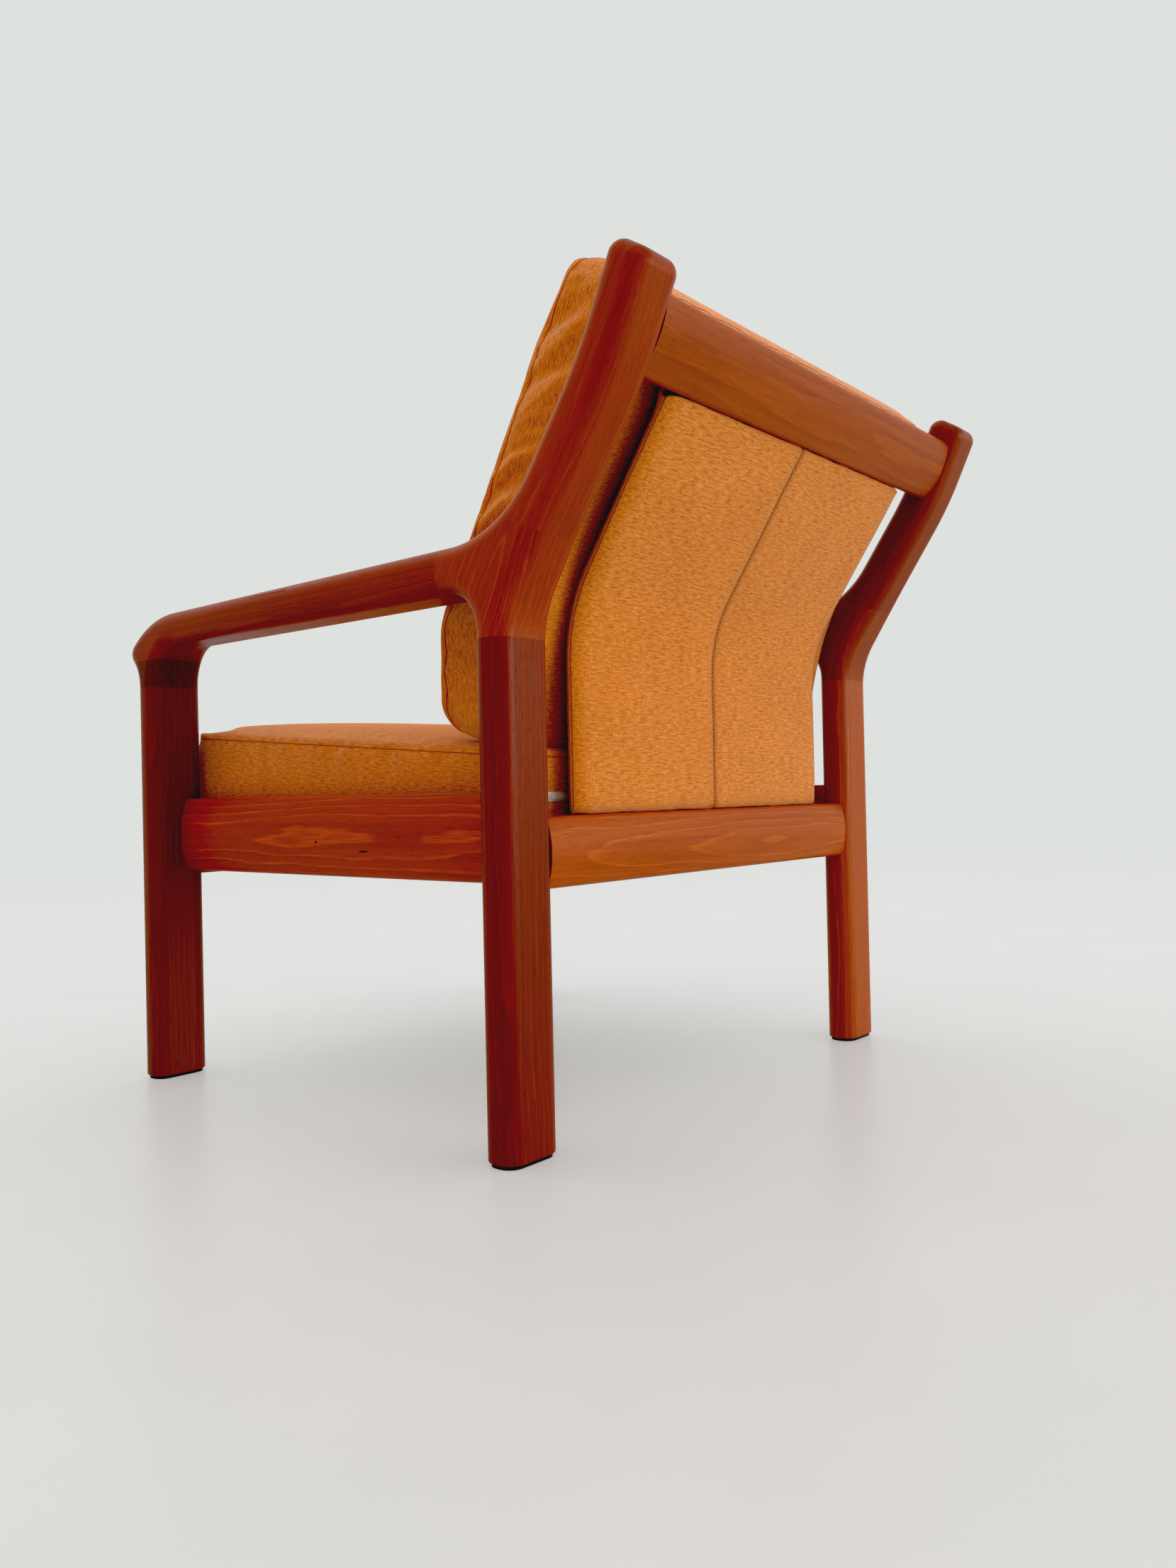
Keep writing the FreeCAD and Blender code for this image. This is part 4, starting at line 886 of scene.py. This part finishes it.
def build_zip(seat):
    """A tape band and a coil of teeth round the rear of the seat's boxing, and the slider."""
    low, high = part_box("seat_zip")
    rise = Vector(((low + high) / 2)).dot(SEAT_UP) - min(
        v.co.dot(SEAT_UP) for v in NODES["seat_cover"].data.vertices)
    nx, ny, nz = seat.counts
    wrap = round(ZIP_WRAP / STEP)
    around = [(0, j) for j in range(wrap, 0, -1)] + [(i, 0) for i in range(nx)]
    around += [(nx, j) for j in range(0, wrap + 1)]
    path = []
    for i, j in around:
        column = np.array([seat.points[seat.index[i, j, k]] for k in range(nz + 1)])
        heights = column @ np.array(SEAT_UP) - column[0] @ np.array(SEAT_UP)
        path.append([np.interp(rise, heights, column[:, n]) for n in range(3)])
    path = np.array(path)
    ahead = np.gradient(path, axis=0)
    ahead /= np.linalg.norm(ahead, axis=1, keepdims=True)
    up = np.array(SEAT_UP)
    out = np.cross(ahead, up)
    out /= np.linalg.norm(out, axis=1, keepdims=True)
    if out[len(out) // 2] @ np.array(SEAT_BACKWARD) < 0:
        out = -out
    tape = plain("zip_tape", (0.62, 0.60, 0.57), 0.8, 900.0, 0.0002)
    teeth = plain("zip_teeth", (0.72, 0.71, 0.69), 0.35, 600.0, 0.00002)
    half = 0.0052
    section = [(-half, 0.0002), (-half, 0.0011), (-0.0019, 0.0014), (0.0019, 0.0014),
               (half, 0.0011), (half, 0.0002)]
    vertices = [path[n] + up * rise_by + out[n] * proud
                for n in range(len(path)) for rise_by, proud in section]
    faces = [[n * 6 + s, n * 6 + s + 1, (n + 1) * 6 + s + 1, (n + 1) * 6 + s]
             for n in range(len(path) - 1) for s in range(5)]
    band = link_mesh("zip_tape_band", vertices, faces, [tape])
    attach(band, "seat_cushion")
    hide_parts("seat_zip")
    travelled = distances(path)
    vertices, faces = [], []
    for number, at in enumerate(np.arange(0.004, travelled[-1] - 0.004, TOOTH_PITCH / 2)):
        centre, forward, outward = (
            np.array([np.interp(at, travelled, values[:, n]) for n in range(3)])
            for values in (path, ahead, out))
        shift = 0.0009 if number % 2 else -0.0009
        first = len(vertices)
        for along, rise_by, proud in TOOTH:
            vertices.append(centre + forward * along * 0.00055 + up * (shift + rise_by * 0.0015)
                            + outward * (0.0013 + 0.0011 * proud))
        faces += [[first + a for a in quad] for quad in
                  ((4, 5, 6, 7), (0, 1, 5, 4), (1, 2, 6, 5), (2, 3, 7, 6), (3, 0, 4, 7))]
    coil = link_mesh("zip_teeth_coil", vertices, faces, [teeth], smooth=False)
    coil.parent = band
    build_slider(plain("slider_brass", (0.50, 0.36, 0.15), 0.38, 300.0, 0.00003, 1.0))


def build_slider(brass):
    """The zip slider's wedge body and hanging pull, in the room of its CAD solid."""
    low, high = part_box("seat_zip_slider")
    centre = (low + high) / 2
    width = high.x - low.x
    top = high.z - 0.0005
    front_y = low.y + 0.0008
    outline = [(0.0, 0.5), (0.30, 0.5), (0.5, 0.32), (0.42, 0.0), (0.42, -0.5), (0.0, -0.5)]
    ring = [(x, z) for x, z in outline] + [(-x, z) for x, z in reversed(outline[1:-1])]
    body_height = 0.0115
    vertices = []
    for depth, swell in ((0.0, 0.92), (0.0006, 1.0), (0.0024, 1.0), (0.0031, 0.84)):
        for x, z in ring:
            vertices.append((centre.x + x * width * swell, front_y + depth,
                             top - body_height / 2 + z * body_height * swell))
    slider = link_mesh("zip_slider_body", vertices, stacked_faces(len(ring), 4), [brass])
    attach(slider, "zip_slider")
    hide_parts("seat_zip_slider")
    pull_outline = [(0.0008, 0.0), (0.0016, -0.0020), (0.0026, -0.0060), (0.0026, -0.0165),
                    (0.0018, -0.0180), (0.0, -0.0184)]
    ring = pull_outline + [(-x, z) for x, z in reversed(pull_outline[:-1])]
    vertices = []
    for depth, swell in ((0.0, 0.9), (0.0003, 1.0), (0.0010, 1.0), (0.0013, 0.9)):
        vertices += [(centre.x + x * swell, front_y + 0.0031 + depth - 0.0012,
                      top - 0.0062 + z) for x, z in ring]
    pull = link_mesh("zip_slider_pull", vertices, stacked_faces(len(ring), 4), [brass])
    pull.parent = slider


# ---- hidden and small CAD pieces ------------------------------------------------------------

def paint_small_parts():
    beech = plain("beech", (0.58, 0.38, 0.21), 0.6, 250.0)
    steel = plain("zinc_steel", (0.45, 0.45, 0.46), 0.4, 500.0, 0.00003, 1.0)
    for node in ("rail_dowels", "crest_dowels", "arm_dowels", "panel_dowels"):
        paint(node, beech)
    paint("back_panel_board", plain("plywood", (0.50, 0.33, 0.18), 0.65, 160.0))
    # painted shade: the panel's front lining, in the crevice behind the back cushion, is painted
    # near black for the deep shade there
    paint("back_panel_lining", plain("lining_painted_shade_black", (0.012, 0.012, 0.012), 0.9, 1500.0, 0.0003))
    paint("foot_glides", plain("glides", (0.035, 0.028, 0.024), 0.6, 900.0, 0.0002))
    paint("webbing_clips", steel)
    paint("glide_nails", steel)
    paint("seat_webbing", ribbed_webbing())
    for node in ("seat_foam", "back_foam"):
        paint(node, plain(node + "_cells", (0.78, 0.70, 0.48), 0.9, 1200.0, 0.0003))


# ---- stage ----------------------------------------------------------------------------------

FLOOR_REACH = 60.0
FLOOR_GLOW = 0.45             # near the chair too, this much of the background shows in the floor
BACKGROUND = (0.745, 0.768, 0.749, 1)


def add_stage():
    """A plain pale floor, slightly glossy, that meets the background far away."""
    tree = Tree("pale_floor")
    place = tree.add("TexCoord", output="Object")
    speckle = tree.noise(place, 5.0, 4.0, 0.6)
    colour = tree.ramp(speckle, (0.3, (0.57, 0.59, 0.60)), (0.7, (0.60, 0.62, 0.63)))
    tree.finish(colour, 0.33, Specular_IOR_Level=0.4)
    # far from the chair the floor runs into the background
    far = tree.nodes.new("ShaderNodeEmission")
    far.inputs["Color"].default_value = BACKGROUND
    reach = tree.add("VectorMath", [place], output="Value", operation="LENGTH")
    either = tree.nodes.new("ShaderNodeMixShader")
    share = tree.math("MULTIPLY", tree.smooth(reach, 1.6, 5.5), 1 - FLOOR_GLOW)
    tree.plug(either.inputs[0], tree.math("ADD", share, FLOOR_GLOW))
    tree.links.new(tree.shader.outputs[0], either.inputs[1])
    tree.links.new(far.outputs[0], either.inputs[2])
    tree.links.new(either.outputs[0], tree.nodes["Material Output"].inputs[0])
    sides = 64
    rings = [0.0, 2.0, 5.0, 12.0, FLOOR_REACH]
    vertices = [(distance * math.cos(turn), distance * math.sin(turn), 0)
                for distance in rings[1:]
                for turn in (math.tau * side / sides for side in range(sides))]
    vertices.append((0, 0, 0))
    faces = [(len(vertices) - 1, side, (side + 1) % sides) for side in range(sides)]
    for ring in range(len(rings) - 2):
        inner, outer = ring * sides, (ring + 1) * sides
        faces += [(inner + side, outer + side, outer + (side + 1) % sides,
                   inner + (side + 1) % sides) for side in range(sides)]
    floor = link_mesh("studio_floor", vertices, faces, [tree.material])


def add_area_light(name, place, target, size, power, colour=(1, 1, 1)):
    data = bpy.data.lights.new(name, "AREA")
    data.shape = "RECTANGLE"
    data.size, data.size_y = size
    data.energy = power
    data.color = colour
    lamp = bpy.data.objects.new(name, data)
    bpy.context.scene.collection.objects.link(lamp)
    aim = Vector(target) - Vector(place)
    turn = aim.to_track_quat("-Z", "Y").to_matrix().to_4x4()
    lamp.matrix_world = Matrix.Translation(place) @ turn
    lamp.visible_camera = False
    lamp.visible_glossy = name == "window"


ROOM_BEHIND = (0.66, 0.45, 0.39, 1)
ROOM_AHEAD = (0.93, 0.96, 0.95, 1)
BLACK_LEVEL = 0.055           # a contrasty film: the darkest tones go to black
PRINT_BLACK = 0.0045          # and the black itself is a little raised


def add_lights():
    """A soft window behind the chair's right, in a room that is darker behind the viewer."""
    world = bpy.data.worlds.new("studio")
    world.use_nodes = True
    nodes, links = world.node_tree.nodes, world.node_tree.links
    light = nodes["Background"]
    place = nodes.new("ShaderNodeTexCoord")
    ahead = nodes.new("ShaderNodeVectorMath")
    ahead.operation = "DOT_PRODUCT"
    links.new(place.outputs["Generated"], ahead.inputs[0])
    ahead.inputs[1].default_value = (-0.8, -0.55, 0.0)
    fall = nodes.new("ShaderNodeMapRange")
    fall.interpolation_type = "SMOOTHSTEP"
    for key, value in {"From Min": -0.4, "From Max": 0.5}.items():
        fall.inputs[key].default_value = value
    links.new(ahead.outputs["Value"], fall.inputs["Value"])
    blend = nodes.new("ShaderNodeMix")
    blend.data_type = "RGBA"
    links.new(fall.outputs[0], blend.inputs[0])
    blend.inputs[6].default_value = ROOM_BEHIND
    blend.inputs[7].default_value = ROOM_AHEAD
    links.new(blend.outputs[2], light.inputs["Color"])
    # the background shows as one pale tone from every side
    plain_light = nodes.new("ShaderNodeBackground")
    plain_light.inputs["Color"].default_value = BACKGROUND
    seen = nodes.new("ShaderNodeLightPath")
    either = nodes.new("ShaderNodeMixShader")
    links.new(seen.outputs["Is Camera Ray"], either.inputs[0])
    links.new(light.outputs[0], either.inputs[1])
    links.new(plain_light.outputs[0], either.inputs[2])
    links.new(either.outputs[0], nodes["World Output"].inputs[0])
    bpy.context.scene.world = world
    add_area_light("window", (-2.21, 6.12, 1.25), (0, 0, 0.45), (4.08, 2.4), 118,
                   (1.0, 0.985, 0.95))
    add_area_light("ceiling", (0.0, -1.0, 6.0), (0, -1.0, 0), (14.0, 14.0), 470)
    film = bpy.context.scene.view_settings
    film.view_transform = "Standard"
    film.use_curve_mapping = True
    film.curve_mapping.black_level = (BLACK_LEVEL, BLACK_LEVEL, BLACK_LEVEL)
    film.curve_mapping.extend = "HORIZONTAL"
    film.curve_mapping.curves[3].points[0].location = (0.0, PRINT_BLACK)
    film.curve_mapping.update()


add_camera()
add_stage()
add_lights()
paint_frame()
paint_small_parts()
cloth = woven("ochre_cloth")
seam_cloth = plain("seam_cloth", (0.42, 0.135, 0.018), 0.9, 1400.0, 0.0003)
seam_thread = plain("seam_thread", (0.38, 0.11, 0.022), 0.8, 1800.0, 0.0001)
seat_cushion = build_seat(cloth, seam_cloth)
build_back(cloth, seam_cloth)
build_panel(cloth, seam_thread)
build_zip(seat_cushion)
